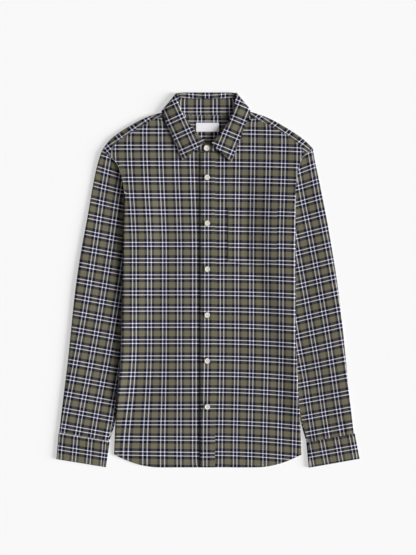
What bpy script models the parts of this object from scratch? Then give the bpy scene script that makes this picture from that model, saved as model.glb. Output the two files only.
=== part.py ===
"""Oxford shirt in yarn-dyed plaid, buttoned and laid flat on its back.

Metres, +Z up. The floor is z = 0, +Y runs from the hem to the collar, +X to the
wearer's left. Every piece is a closed wall of cloth worked out in millimetres:
its outer face is a grid of points, and the wall is grown inwards from it.
"""

import math
from collections import namedtuple

import bmesh
import bpy
import numpy as np

MM = 0.001

# Cloth and seams, mm
CLOTH = 1.1
BAND = 1.5  # two layers with interlining: collar, stand and cuffs
SEAM = 0.45  # between two pieces that are sewn edge to edge
CLEAR = 0.5  # between a piece and the panel it lies on

# How thick the flat shirt lies, mm: outer face to outer face
BODY_MIDDLE = 5.8
SIDE_FOLD = 4.8
HEM_FOLD = 3.4
SHOULDER_FOLD = 5.6
SLEEVE_MIDDLE = 5.9
SLEEVE_FOLD = 5.0
TUCKED = 3.1  # the sleeve where the body lies on it
LIFT = TUCKED + CLEAR  # the body's underside there
CROWN_REACH = 40.0  # the body rises from its side fold to its middle over about this
SHOULDER_REACH = 35.0  # and the shoulder fold's thickness fades out over about this

# Heights along the body, mm from the middle of the shirt
HEM = -400.0
ARMPIT = 76.0
NECK_FRONT = 274.0
HEM_CLOSES = 110.0  # the layers close over this much above the hem
HEM_BELLY = 0.3  # share of that closing that the body's middle follows
BELLY_REACH = 90.0
LOWEST_FOLD = 200.0  # height above which the side folds run on under the sleeve heads
RAISED_END = 275.0  # the body lies on the sleeves below this
RAISED_OVER = 80.0
TAPER = 16.0  # over this the underside comes down to the floor, inside of the sleeve
TAPER_END = 30.0
RIDGE = 36.0  # the top comes down as far past the sleeve's edge
TURNED_IN = 56.0  # front cloth folded under, from the side fold to the side seam
ARMPIT_CLOSES = 45.0  # the back comes down to the floor over this much below the armpit

# The hem is level in the middle of the body, then a curve, then straight to the side seam
HEM_LEVEL = 110.0
HEM_CURVE = 90.0
HEM_BEND = 0.0033
HEM_SLOPE = 0.35
BACK_HEM_SQUARE = 2.2  # how squarely the back hem turns up at its ends

PLACKET_FREE = -16.3
PLACKET_SEAM = 15.5
PLACKET_TOP_CLEAR = 1.2
EDGE_STEP = 0.3  # the placket's edges stand this much past the front's
UNDERLAP = 16.0
DIP_START = -40.0  # from here the right front dips under the left one
DIP_OVER = 20.0
NECK_CLEAR = 0.4  # the stand's lower edge is this much clearer than a seam

SIDES = {"right": -1, "left": 1}

Edge = namedtuple("Edge", "height right left")
SIDE_EDGE = [  # x of the side folds
    Edge(210, -177.8, 187.4),
    Edge(86, -182.0, 187.9),
    Edge(-106, -185.6, 188.0),
    Edge(-165, -187.6, 190.4),
    Edge(-200, -189.4, 191.4),
    Edge(-240, -194.6, 194.2),
    Edge(-300, -198.1, 198.2),
    Edge(-372, -200.7, 200.6),
    Edge(-405, -201.0, 200.8),
]
PARTING = {"right": -205.0, "left": -276.0}  # height where the sleeve comes clear
PART_ABOVE = 55.0  # the body starts to come down off the sleeve this far above
PART_OVER = 50.0

# Armhole seam from the shoulder tip to where the body's fold hides it, x and y
ARMHOLE = {
    "right": [(-227, 277), (-218, 270.8), (-209.5, 265), (-199, 256.5), (-191.3, 245),
              (-183.2, 218.9), (-178.3, 186)],
    "left": [(225, 282), (216.5, 275), (208.5, 269), (200.5, 260), (195, 243),
             (190, 218), (187.4, 190)],
}
# Where it runs on under the fold: how far in from the fold, and the share of the way down
# from there to the armpit
HiddenSeam = namedtuple("HiddenSeam", "inwards down")
HIDDEN_ARMHOLE = [
    HiddenSeam(4.5, 0.19),
    HiddenSeam(20, 0.54),
    HiddenSeam(39, 0.8),
    HiddenSeam(TURNED_IN - SEAM, 1.0),
]
YOKE_CORNER = 2  # the armhole row that the front yoke seam ends on
YOKE_BACK_CORNER = 4  # the one that the back yoke seam ends on

# Front yoke seam and shoulder fold, from the neck out, x and y
YOKE_FRONT = {
    "right": [(-96, 354.5), (-131.2, 335.8), (-157.1, 320.1), (-179.1, 307.3),
              (-196, 295), (-205, 281), (-209.5, 265)],
    "left": [(92, 352.5), (125, 335.5), (150, 322), (171.6, 309),
             (190.2, 296), (201, 284), (208.5, 269)],
}
SHOULDER = {
    "right": [(-95.5, 359.6), (-103, 358.4), (-123.7, 353), (-149.4, 341.1),
              (-170.8, 328.3), (-198.6, 311.2), (-211.4, 300.5), (-222.1, 289.8), (-227, 277)],
    "left": [(89.5, 361), (97, 360), (118.1, 353), (143.8, 341.1),
             (165.2, 328.3), (193, 311.2), (208, 300.5), (220.8, 290.5), (225, 282)],
}

# Sleeve edges from the armhole to the cuff seam, x and y
SLEEVE_OUTER = {
    "right": [(-227, 277), (-231, 268), (-239.2, 236.3), (-247.8, 193.5), (-258.5, 129.3),
              (-267.1, 86.5), (-281, 0.9), (-290.6, -84.7), (-299.2, -170.3),
              (-309.9, -255.9), (-318, -325.5)],
    "left": [(225, 282), (226.5, 268), (233.7, 236.3), (242.2, 193.5), (255.1, 129.3),
             (262.5, 86.5), (276.5, 0.9), (287.2, -84.7), (295.7, -170.3),
             (304.3, -255.9), (312.5, -327.2)],
}
SLEEVE_INNER = {
    "right": [(-128, 76), (-146.2, 1), (-164.4, -85), (-177.2, -149), (-187.9, -202),
              (-194.8, -232), (-200.5, -290), (-203.5, -322), (-210.8, -343.3)],
    "left": [(134, 76), (145, 1), (163, -85), (175.9, -149), (186.6, -213),
             (195.2, -266.6), (201.2, -302.4), (206, -326), (211.3, -346.5)],
}
SLEEVE_DROP = 1.1  # the sleeve's seam below the front's where the side fold starts
SLEEVE_HOLD = 1 / 14  # share of the sleeve over which it leaves the armhole's height
HOLD_OVER = 20.0
SLEEVE_CROWN = 0.7  # how roundly the sleeve fills between its folds
TUCK_CLEAR, TUCK_OVER = 4.0, 28.0  # it swells from under the body from here, over this
ABOVE_OVER = 50.0
PART_CLEAR, PART_SWELL = 8.0, 40.0
ROW_CROWDING = 1.1  # the rows are this power closer near the armhole
Cuff = namedtuple("Cuff", "top_outer top_inner bottom_outer bottom_inner")
CUFFS = {
    "right": Cuff((-319.3, -327.0), (-209.4, -345.2), (-324.0, -381.8), (-217.4, -399.2)),
    "left": Cuff((314.9, -328.5), (210.3, -348.0), (324.9, -381.1), (215.6, -400.4)),
}

# Collar, one row for each station from the front edge to the middle of the back.
# neck = lower edge of the stand, roll = where the fall turns over, edge = outer edge,
# rise = lift off the front, inside = fall that shows inside, from the stand to the roll
Station = namedtuple("Station", "neck roll edge rise inside")
COLLAR_FRONT = {
    "right": [
        Station((-12, 275.6), (-5.8, 296.2), (-53.1, 256.8), 1.4, 3),
        Station((-30, 280.0), (-19.5, 311.0), (-61.5, 276.0), 1.0, 3),
        Station((-51, 292.6), (-34.5, 328.5), (-71.5, 298.5), 0.5, 3),
        Station((-69, 311.5), (-48.0, 349.0), (-81.0, 320.0), 0.2, 5),
        Station((-83, 334.0), (-60.5, 366.5), (-90.0, 340.0), 0.0, 9),
    ],
    "left": [
        Station((11, 275.3), (7.3, 293.8), (50.3, 252.9), 1.4, 3),
        Station((28, 279.3), (19.5, 306.5), (58.5, 273.5), 1.0, 3),
        Station((48, 291.5), (33.4, 321.6), (66.5, 295.5), 0.5, 3),
        Station((65, 310.2), (44.9, 342.8), (75.0, 318.5), 0.2, 5),
        Station((78, 332.5), (56.0, 363.5), (83.5, 340.5), 0.0, 9),
    ],
}
COLLAR_CORNER = {
    "right": Station((-95.2, 361.9), (-67.2, 401.7), (-99.9, 361.7), 0.0, 13.5),
    "left": Station((88.0, 363.5), (61.4, 402.5), (92.4, 364.2), 0.0, 13.5),
}
COLLAR_BACK = {
    "right": [Station((-80, 355.2), (-58, 402.2), (-84, 350.4), 0.0, 13.5),
              Station((-42, 353.8), (-31, 402.1), (-44, 349.2), 0.0, 13.5)],
    "left": [Station((74, 355.6), (52, 402.3), (78, 350.8), 0.0, 13.5),
             Station((38, 353.8), (26, 402.1), (40, 349.3), 0.0, 13.5)],
}
COLLAR_MIDDLE = Station((-3, 353.3), (-3, 402.1), (-3, 349.0), 0.0, 13.5)
RING_HEIGHT = 4.4  # middle of the flattened neck ring
STAND_RADIUS = 2.0
FALL_RADIUS = 4.4
FALL_BELLY = 0.7  # how much the leaves arch off the front
FRONT_LIFT = 0.3  # share of a leaf's lift that is left at its outer edge
OVER_FROM, OVER_OVER = 40.0, 24.0  # the stand's left end rises over the right from here
# The stand's two ends past the collar, with rounded corners
TAB_END = -16.0  # the stand's buttonhole end
UNDER_END = 12.0
END_BOTTOM, END_HEIGHT = 274.6, 18.0
StandEnd = namedtuple("StandEnd", "x drop inset")
UNDER_STAND = StandEnd(UNDER_END, -0.3, 3.0)
OVER_STAND = [StandEnd(-4.0, 0.0, 0.5), StandEnd(TAB_END, 0.0, 4.5)]
# The yoke rises over the collar's fall between these heights and inside of these places
FALL_LOW, FALL_OVER = 325.0, 18.0
FALL_WIDE, FALL_NARROWS = 118.0, 14.0

# Pocket, label and buttons
POCKET_LEFT = 43.2
POCKET_RIGHT = 148.0
POCKET_TOP = 153.9
POCKET_SIDE_END = 41.5
POCKET_POINT = 27.6
LABEL_CENTRE = (-0.6, 327.6)
LABEL_SIZE = (48.8, 18.8)
LABEL_WALL = 1.0
BUTTON_RADIUS = 5.6
BUTTON_HEIGHT = 2.3
# A button's turned profile, from its foot to its well, as shares of radius and height
Turned = namedtuple("Turned", "out rise")
BUTTON_PROFILE = [
    Turned(0.86, 0),
    Turned(1, 0.35),
    Turned(0.97, 0.85),
    Turned(0.86, 1),
    Turned(0.7, 0.86),
    Turned(0.62, 0.7),
]
BUTTON_X = -0.9
STAND_BUTTON_X = -2.6
STAND_BUTTON_Y = 282.3
FIRST_BUTTON_Y = 220.0
BUTTON_STEP = 98.0
PLACKET_BUTTONS = 6

# Colours, linear
PLAID = (0.105, 0.101, 0.094)
LABEL_WHITE = (0.83, 0.83, 0.84)
IVORY = (0.72, 0.69, 0.6)

# Cells of the grids
ARC_CELLS = 4
STRIP_CELLS = 4
FRONT_CELLS = {"right": 10, "left": 11}
FOLD_STARTS = (0.25, 0.5, 0.75)  # how far the side fold has turned at its first rows
LOWER_ROWS = 15
PLACKET_ROWS = 24
POCKET_COLUMNS = 6
POCKET_ROWS = 6
BACK_CELLS = 10
SLEEVE_ROWS = 17
CUFF_ROWS = 3
CUFF_CELLS = 4
STAND_CELLS = 3
FALL_CELLS = 3
ROLL_CELLS = 4
LABEL_ROWS = 3
LABEL_CELLS = 4
BUTTON_SIDES = 16


def eased(t):
    t = np.clip(t, 0.0, 1.0)
    return t * t * (3 - 2 * t)


def smooth_curve(points):
    """A function of 0..1 that runs smoothly through the points."""
    knots = np.array(points, float)
    along = np.r_[0, np.cumsum(np.linalg.norm(np.diff(knots, axis=0), axis=1))]
    slopes = np.gradient(knots, along, axis=0)

    def at(share):
        place = np.clip(share, 0, 1) * along[-1]
        i = min(int(np.searchsorted(along, place, side="right")) - 1, len(along) - 2)
        span = along[i + 1] - along[i]
        t = (place - along[i]) / span
        return (
            (2 * t**3 - 3 * t**2 + 1) * knots[i]
            + (t**3 - 2 * t**2 + t) * span * slopes[i]
            + (3 * t**2 - 2 * t**3) * knots[i + 1]
            + (t**3 - t**2) * span * slopes[i + 1]
        )

    return at


def column_of(rows, key, value):
    """A function that reads one named column of a table by another."""
    keys = np.array([getattr(row, key) for row in rows], float)
    values = np.array([getattr(row, value) for row in rows], float)
    order = np.argsort(keys)
    return lambda at: float(np.interp(at, keys[order], values[order]))


def x_of_y(points):
    """x as a function of y along a line of points."""
    line = np.array(sorted(points, key=lambda point: point[1]), float)
    return lambda y: float(np.interp(y, line[:, 1], line[:, 0]))


def coons(top, bottom, inner, outer):
    """A flat patch between four edges. across runs inner to outer, down runs top to bottom."""

    def at(across, down):
        return (
            (1 - down) * top(across) + down * bottom(across)
            + (1 - across) * inner(down) + across * outer(down)
            - (1 - across) * (1 - down) * top(0) - across * (1 - down) * top(1)
            - (1 - across) * down * bottom(0) - across * down * bottom(1)
        )

    return at


def beside(points, side, distance):
    """A seam line moved sideways into the body's cloth, with mitred corners. The line
    starts at the neck or at the shoulder tip."""
    line = np.array(points, float)
    along = np.diff(line, axis=0)
    normals = np.c_[-along[:, 1], along[:, 0]] / np.linalg.norm(along, axis=1)[:, None]
    before = np.vstack([normals[:1], normals])
    after = np.vstack([normals, normals[-1:]])
    mitre = (before + after) / (1 + (before * after).sum(axis=1))[:, None]
    return line - SIDES[side] * distance * mitre


def straight(start, end):
    start, end = np.array(start, float), np.array(end, float)
    return lambda share: start + (end - start) * share


side_fold = {name: column_of(SIDE_EDGE, "height", name) for name in SIDES}
sleeve_inside = {name: x_of_y(SLEEVE_INNER[name]) for name in SIDES}


def in_from_fold(side, x, y):
    """Distance inwards from the side fold."""
    return SIDES[side] * (side_fold[side](y) - x)


def tuck(side, y):
    """How far the sleeve reaches under the body."""
    return in_from_fold(side, sleeve_inside[side](min(y, ARMPIT)), y)


def lying_on_sleeve(side, y):
    """1 where the body's edge lies on the sleeve, 0 below where they part."""
    return float(eased((y - PARTING[side] + PART_ABOVE) / PART_OVER))


def underside(side, x, y):
    """Height of the folded-under cloth, which lies on the sleeve near the fold."""
    beyond = in_from_fold(side, x, y) - tuck(side, y)
    return LIFT * lying_on_sleeve(side, y) * float(eased((TAPER_END - beyond) / TAPER))


def flatness(y):
    """0 at the hem, where the layers close, 1 further up."""
    return float(eased((y - HEM) / HEM_CLOSES))


def fold_thickness(y):
    return HEM_FOLD + (SIDE_FOLD - HEM_FOLD) * flatness(y)


def below_shoulder(side, x, y):
    """Rough distance below the shoulder fold."""
    (x0, y0), (x1, y1) = SHOULDER[side][2], SHOULDER[side][5]
    length = math.hypot(x1 - x0, y1 - y0)
    return max(0.0, ((y0 - y) * abs(x1 - x0) + (abs(x) - abs(x0)) * (y1 - y0)) / length)


def height_on_side(side, x, y):
    inwards = max(0.0, in_from_fold(side, x, min(y, LOWEST_FOLD)))
    height = fold_thickness(y) + (BODY_MIDDLE - SIDE_FOLD) * (1 - math.exp(-inwards / CROWN_REACH))
    belly = HEM_BELLY * (1 - flatness(y)) * float(eased(inwards / BELLY_REACH))
    height += (BODY_MIDDLE + 0.2 - height) * belly
    raised = LIFT * lying_on_sleeve(side, y) * float(eased((RAISED_END - y) / RAISED_OVER))
    height += raised * float(eased((max(0.0, tuck(side, y)) + RIDGE - inwards) / RIDGE))
    near = math.exp(-below_shoulder(side, x, y) / SHOULDER_REACH)
    return SHOULDER_FOLD * near + height * (1 - near)


def front_height(x, y):
    """Outer face of the fronts and of the yoke's front strips."""
    left = float(eased((x + 60) / 120))
    return (1 - left) * height_on_side("right", x, y) + left * height_on_side("left", x, y)


def right_front_height(x, y):
    """The right front dips to pass under the left one."""
    return front_height(x, y) - (CLOTH + SEAM) * float(eased((x - DIP_START) / DIP_OVER))


def yoke_underside(x, y):
    """The yoke lies on the floor and rises over the collar's fall at the neck."""
    below_fall = float(eased((y - FALL_LOW) / FALL_OVER))
    inside_fall = float(eased((FALL_WIDE - abs(x)) / FALL_NARROWS))
    return (BAND + CLEAR) * below_fall * inside_fall


def hem_rise(girth):
    """The hem curves up towards the side seam. girth runs round the body from its middle."""
    past = max(0.0, abs(girth) - HEM_LEVEL)
    curved = min(past, HEM_CURVE)
    return HEM_BEND * curved**2 + HEM_SLOPE * (past - curved)


# ------------------------------------------------------------------ meshes


def cloth(name, rows, colour, wall=CLOTH, ring=False, skip=(), outward=(0, 0, 1), at=(0, 0)):
    """A closed wall from a grid of outer points in mm. outward is the way that the face
    at the given cell looks, skip holds cells that are left out."""
    grid = np.array(rows, float) * MM
    count, width = grid.shape[:2]
    mesh = bpy.data.meshes.new(name)
    bm = bmesh.new()
    verts = [[bm.verts.new(point) for point in row] for row in grid]
    first = None
    for r in range(count - 1):
        for c in range(width if ring else width - 1):
            if (r, c) in skip:
                continue
            d = (c + 1) % width
            face = bm.faces.new((verts[r][c], verts[r][d], verts[r + 1][d], verts[r + 1][c]))
            if (r, c) == tuple(at):
                first = face
    first.normal_update()
    turn = first.normal.dot(outward) < 0
    bmesh.ops.remove_doubles(bm, verts=bm.verts, dist=1e-7)
    if turn:
        bmesh.ops.reverse_faces(bm, faces=bm.faces)
    loose = [vert for vert in bm.verts if not vert.link_faces]
    bmesh.ops.delete(bm, geom=loose, context="VERTS")
    bm.to_mesh(mesh)
    bm.free()
    body = bpy.data.objects.new(name, mesh)
    bpy.context.scene.collection.objects.link(body)
    solidify = body.modifiers.new("wall", "SOLIDIFY")
    solidify.thickness = wall * MM
    solidify.offset = -1
    solidify.use_even_offset = False
    finish(body, colour)
    return body


def finish(body, colour, roughness=0.85):
    material = bpy.data.materials.new(body.name)
    material.use_nodes = True
    surface = material.node_tree.nodes["Principled BSDF"]
    surface.inputs["Base Color"].default_value = (*colour, 1)
    surface.inputs["Roughness"].default_value = roughness
    surface.inputs["Metallic"].default_value = 0
    body.data.materials.append(material)
    body.data.shade_smooth()
    body.data.set_sharp_from_angle(angle=math.radians(40))


# ------------------------------------------------------------------ fronts


def folded_edge(side, y_of, seam=TURNED_IN, turned=1.0):
    """Points from the side fold's upper tangent round to the seam under it, at the height
    along the body that y_of(girth) gives. The fold starts at the armhole, where it has
    turned only in part and there is no strip under it."""
    sign = SIDES[side]
    y = y_of(abs(side_fold[side](HEM)))
    edge = side_fold[side](y)
    upper = front_height(edge, y)
    radius = (upper - LIFT * lying_on_sleeve(side, y)) / 2
    points = []
    for step in range(1, ARC_CELLS + 1):
        turn = math.pi * turned * step / ARC_CELLS
        inwards = radius * (1 - math.sin(turn))
        points.append((edge - sign * inwards, y, upper - radius * (1 - math.cos(turn))))
    if turned < 1:
        return points + [points[-1]] * STRIP_CELLS
    for step in range(1, STRIP_CELLS + 1):
        inwards = radius + (seam - radius) * step / STRIP_CELLS
        row_y = y_of(abs(edge) + inwards)
        x = side_fold[side](row_y) - sign * inwards
        points.append((x, row_y, underside(side, x, row_y)))
    return points


def hidden_armhole(side):
    """The armhole where it runs on under the body's fold to the armpit, x and y."""
    start = ARMHOLE[side][-1][1]
    points = []
    for row in HIDDEN_ARMHOLE:
        y = start - row.down * (start - ARMPIT)
        points.append((side_fold[side](y) - SIDES[side] * row.inwards, y))
    return points


def armhole(side):
    """The whole seam from the shoulder tip to the armpit, x and y."""
    return ARMHOLE[side] + hidden_armhole(side)


def front(side, columns, height):
    """One front. columns are the x places of its upper layer at the armhole's lower end."""
    arm = ARMHOLE[side]
    neck = [(columns[0], NECK_FRONT)] + [station.neck for station in COLLAR_FRONT[side]]
    outline = neck + YOKE_FRONT[side] + arm[YOKE_CORNER + 1 :] + hidden_armhole(side)
    outline = beside(outline, side, SEAM)
    outline[: len(neck), 1] -= NECK_CLEAR
    top = outline[: len(columns)]
    seam = outline[len(columns) - 1 :]
    yoke_rows = len(arm) - 1 - YOKE_CORNER
    columns = [*columns[:-1], seam[yoke_rows][0]]
    last = len(columns) - 1
    ends = np.array([(x, seam[yoke_rows][1]) for x in columns])
    reach = np.r_[0, np.cumsum(np.linalg.norm(np.diff(seam[: yoke_rows + 1], axis=0), axis=1))]

    rows = []
    for r in range(yoke_rows + 1):
        down = reach[r] / reach[-1]
        bend = seam[r] - (top[-1] * (1 - down) + ends[-1] * down)
        row = []
        for c in range(last + 1):
            x, y = top[c] * (1 - down) + ends[c] * down + bend * (c / last) ** 2
            row.append((x, y, height(x, y)))
        rows.append(row + [row[-1]] * (ARC_CELLS + STRIP_CELLS))
    for turned in FOLD_STARTS:
        y = seam[yoke_rows][1] + (seam[yoke_rows + 1][1] - seam[yoke_rows][1]) * turned
        row = upper_layer(side, columns, height, lambda girth, y=y: y)
        rows.append(row + folded_edge(side, lambda girth, y=y: y, turned=turned))
    for x, y in seam[yoke_rows + 1 :]:
        row = upper_layer(side, columns, height, lambda girth, y=y: y)
        rows.append(row + folded_edge(side, lambda girth, y=y: y, in_from_fold(side, x, y)))
    for down in np.linspace(0, 1, LOWER_ROWS + 1)[1:]:
        y_of = lower_height(down)
        rows.append(upper_layer(side, columns, height, y_of) + folded_edge(side, y_of))
    skip = {(r, c) for r in range(yoke_rows) for c in range(last, len(rows[0]))}
    strip = range(last + ARC_CELLS, len(rows[0]))
    skip |= {(yoke_rows + r, c) for r in range(len(FOLD_STARTS)) for c in strip}
    return cloth("front_" + side, rows, PLAID, skip=skip)


def lower_height(down):
    """Height along the body at a share of the way from the armpit to the hem."""
    return lambda girth: ARMPIT + (HEM + hem_rise(girth) - ARMPIT) * down


def upper_layer(side, columns, height, y_of):
    """Points of a front's upper layer, spread between its free edge and the fold."""
    start = columns[0]
    spread = [(x - start) / (columns[-1] - start) for x in columns]
    row = []
    for share in spread:
        y = y_of(abs(side_fold[side](HEM)) * share)
        edge = side_fold[side](y)
        radius = (front_height(edge, y) - LIFT * lying_on_sleeve(side, y)) / 2
        x = start + (edge - SIDES[side] * radius - start) * share
        z = height(x, y) if share < 1 else front_height(edge, y)
        row.append((x, y, z))
    return row


def spread_between(start, end, cells):
    return [start + (end - start) * i / cells for i in range(cells + 1)]


def fronts():
    inner = spread_between(DIP_START, ARMHOLE["right"][-1][0], FRONT_CELLS["right"])
    front("right", [UNDERLAP, DIP_START + DIP_OVER, *inner], right_front_height)
    inner = spread_between(UNDERLAP, ARMHOLE["left"][-1][0], FRONT_CELLS["left"])
    front("left", [PLACKET_FREE + EDGE_STEP, *inner], front_height)


# ------------------------------------------------------------------ placket and pocket


def on_front(x, y, wall):
    return (x, y, front_height(x, y) + CLEAR + wall)


def placket():
    rows = []
    top = NECK_FRONT - PLACKET_TOP_CLEAR
    for r in range(PLACKET_ROWS + 1):
        row = []
        for x in (PLACKET_FREE, (PLACKET_FREE + PLACKET_SEAM) / 2, PLACKET_SEAM):
            drop = HEM + EDGE_STEP + hem_rise(x) - top
            row.append(on_front(x, top + drop * (r / PLACKET_ROWS), CLOTH))
        rows.append(row)
    return cloth("placket", rows, PLAID)


def pocket():
    """Straight sides and a pointed lower edge."""
    rows = []
    for r in range(POCKET_ROWS + 1):
        row = []
        for share in np.linspace(0, 1, POCKET_COLUMNS + 1):
            x = POCKET_LEFT + (POCKET_RIGHT - POCKET_LEFT) * share
            bottom = POCKET_POINT + (POCKET_SIDE_END - POCKET_POINT) * abs(2 * share - 1)
            y = POCKET_TOP + (bottom - POCKET_TOP) * r / POCKET_ROWS
            row.append(on_front(x, y, CLOTH))
        rows.append(row)
    return cloth("pocket", rows, PLAID)


# ------------------------------------------------------------------ back and yoke


def back():
    """One panel from the back yoke seam to the hem. Its hem mirrors the front's, so that
    both meet at the side seam."""
    seams = {side: beside(armhole(side), side, SEAM)[YOKE_BACK_CORNER:] for side in SIDES}
    ends = [[seams["right"][r], seams["left"][r]] for r in range(len(seams["right"]))]
    ends[0] = [point - np.array((0, 1.5 * SEAM)) for point in ends[0]]
    shares = [0.0] * len(ends)
    for down in np.linspace(0, 1, LOWER_ROWS + 1)[1:]:
        row = []
        for side, sign in SIDES.items():
            y = lower_height(down)(abs(side_fold[side](HEM)))
            y = lower_height(down)(abs(side_fold[side](y)) + TURNED_IN)
            row.append(np.array((side_fold[side](y) - sign * (TURNED_IN + SEAM), y)))
        ends.append(row)
        shares.append(down)
    rows = []
    for (start, end), down in zip(ends, shares):
        row = []
        for c in range(BACK_CELLS + 1):
            x, y = start + (end - start) * c / BACK_CELLS
            side = "right" if c < BACK_CELLS / 2 else "left"
            rise = hem_rise(abs(side_fold[side](HEM)) + TURNED_IN)
            y -= down * rise * (1 - abs(2 * c / BACK_CELLS - 1) ** BACK_HEM_SQUARE)
            below_armpit = float(eased((ARMPIT - y) / ARMPIT_CLOSES))
            row.append((x, y, underside(side, x, y) * below_armpit))
        rows.append(row)
    return cloth("back", rows, PLAID, outward=(0, 0, -1))


def yoke():
    """Saddle: a back part between the armholes, and a strip over each shoulder."""
    stations = [*COLLAR_BACK["right"], COLLAR_MIDDLE, *reversed(COLLAR_BACK["left"])]
    seams = {side: beside(armhole(side), side, SEAM) for side in SIDES}
    bottom = [seams[side][YOKE_BACK_CORNER] for side in SIDES]
    shoulder_cells = len(YOKE_FRONT["right"]) - 1
    neck_cells = len(stations) + 1
    width = 2 * shoulder_cells + neck_cells + 1
    upper_rows = 1 + ARC_CELLS
    columns = []
    for c in range(width):
        side = "right" if c < width / 2 else "left"
        steps_in = min(c, width - 1 - c)
        foot = bottom[0] + (bottom[1] - bottom[0]) * c / (width - 1)
        column = []
        if steps_in <= shoulder_cells:
            seam = np.array(YOKE_FRONT[side][shoulder_cells - steps_in])
            fold = smooth_curve(SHOULDER[side])(1 - steps_in / shoulder_cells)
            if steps_in == 0:
                fold, seam = beside(armhole(side), side, 2 * SEAM)[0], seams[side][YOKE_CORNER]
            inwards = (seam - fold) / np.linalg.norm(seam - fold)
            column.append((*seam, front_height(*seam)))
            radius = (SHOULDER_FOLD - yoke_underside(*fold)) / 2
            for r in range(ARC_CELLS + 1):
                turn = math.pi * r / ARC_CELLS
                point = fold + inwards * radius * (1 - math.sin(turn))
                column.append((*point, SHOULDER_FOLD - radius * (1 - math.cos(turn))))
            start = fold + inwards * radius
        else:
            start = np.array(stations[c - shoulder_cells - 1].neck) - (0, SEAM + NECK_CLEAR)
            column = [(*start, yoke_underside(*start))] * (upper_rows + 1)
        for r in range(1, YOKE_BACK_CORNER + 1):
            point = start + (foot - start) * r / YOKE_BACK_CORNER
            if steps_in == 0:
                point = seams[side][r]
            column.append((*point, yoke_underside(*point)))
        columns.append(column)
    rows = [[column[r] for column in columns] for r in range(len(columns[0]))]
    neck = range(shoulder_cells, shoulder_cells + neck_cells)
    return cloth("yoke", rows, PLAID, skip={(r, c) for r in range(upper_rows) for c in neck})


# ------------------------------------------------------------------ sleeves and cuffs


def sleeve_height(side, x, y, across, width):
    """Outer face of a sleeve's upper layer. across is the distance from its outer fold."""
    share = min(1.0, max(0.0, across / width))
    free = SLEEVE_FOLD + (SLEEVE_MIDDLE - SLEEVE_FOLD) * math.sin(math.pi * share) ** SLEEVE_CROWN
    outside = -in_from_fold(side, x, y)
    tucked = TUCKED + (free - TUCKED) * float(eased((outside - TUCK_CLEAR) / TUCK_OVER))
    above = float(eased((y - ARMHOLE[side][-1][1]) / ABOVE_OVER))
    below = float(eased((PARTING[side] - PART_CLEAR - y) / PART_SWELL))
    return tucked + (free - tucked) * max(above, below)


def sleeve(side):
    """A flattened tube. Each row runs across the upper layer from its inner fold, round the
    outer fold, and back across the lower layer."""
    seam = np.array(armhole(side))
    seen = len(ARMHOLE[side])
    last = len(seam) - 1
    shares = np.linspace(0, 1, last + 1)
    fold_start = ARMHOLE[side][-1][1]

    def top(across):
        return np.array([np.interp(across, shares, seam[:, k]) for k in (0, 1)])

    cuff_line = straight(SLEEVE_OUTER[side][-1], SLEEVE_INNER[side][-1])
    inner = smooth_curve([seam[-1], *SLEEVE_INNER[side][1:]])
    patch = coons(top, cuff_line, smooth_curve(SLEEVE_OUTER[side]), inner)

    rows = []
    for r in range(SLEEVE_ROWS + 1):
        down = (r / SLEEVE_ROWS) ** ROW_CROWDING
        line = np.array([patch(share, down) for share in shares])
        reach = np.r_[0, np.cumsum(np.linalg.norm(np.diff(line, axis=0), axis=1))]
        heights = []
        for c, (x, y) in enumerate(line):
            at_seam = TUCKED
            if c < seen:
                at_seam = front_height(*seam[c]) - SLEEVE_DROP * (c / (seen - 1)) ** 3
            hold = 1 - float(eased(down / SLEEVE_HOLD))
            hold *= float(eased((y - fold_start) / HOLD_OVER + 1))
            free = sleeve_height(side, x, y, reach[c], reach[-1])
            heights.append(at_seam if r == 0 else free + (at_seam - free) * hold)
        ends = []
        for tip, towards, height in ((0, 1, heights[0]), (-1, -2, heights[-1])):
            way = (line[towards] - line[tip]) / np.linalg.norm(line[towards] - line[tip])
            ends.append((line[tip], way, height / 2))
        flat = line.copy()
        for tip, (point, way, radius) in zip((0, -1), ends):
            flat[tip] = point + way * radius
        upper = [(*point, height) for point, height in zip(flat, heights)]
        lower = [(*point, 0.0) for point in flat]
        row = upper[::-1] + half_turn(*ends[0], 1) + lower + half_turn(*ends[1], -1)
        rows.append(row)
    return cloth("sleeve_" + side, rows, PLAID, ring=True, at=(SLEEVE_ROWS // 2, 4))


def half_turn(point, way, radius, sense):
    """The points of a fold between its tangents, from the top down where sense is 1."""
    found = []
    for step in range(1, ARC_CELLS):
        turn = math.pi * step / ARC_CELLS
        place = point + way * radius * (1 - math.sin(turn))
        found.append((*place, radius * (1 + sense * math.cos(turn))))
    return found


def cuff(side):
    shape = CUFFS[side]
    outer = straight(shape.top_outer, shape.bottom_outer)
    inner = straight(shape.top_inner, shape.bottom_inner)
    height = SLEEVE_FOLD + 0.4
    radius = height / 2
    rows = []
    for r in range(CUFF_ROWS + 1):
        share = r / CUFF_ROWS
        start, end = outer(share), inner(share)
        way = (end - start) / np.linalg.norm(end - start)
        flat = np.linspace(start + way * radius, end - way * radius, CUFF_CELLS + 1)
        upper = [(*point, height) for point in flat]
        lower = [(*point, 0.0) for point in flat]
        turns = half_turn(start, way, radius, 1), half_turn(end, -way, radius, -1)
        rows.append(upper[::-1] + turns[0] + lower + turns[1])
    return cloth("cuff_" + side, rows, PLAID, wall=BAND, ring=True, at=(1, 1))


# ------------------------------------------------------------------ collar

Rib = namedtuple("Rib", "side angle station neck roll edge up out")

# Where the neck ring turns from its upper layer to its lower one: 90 looks up, -90 down
CORNER_TURNS = (60, 20, -20, -60)


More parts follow.
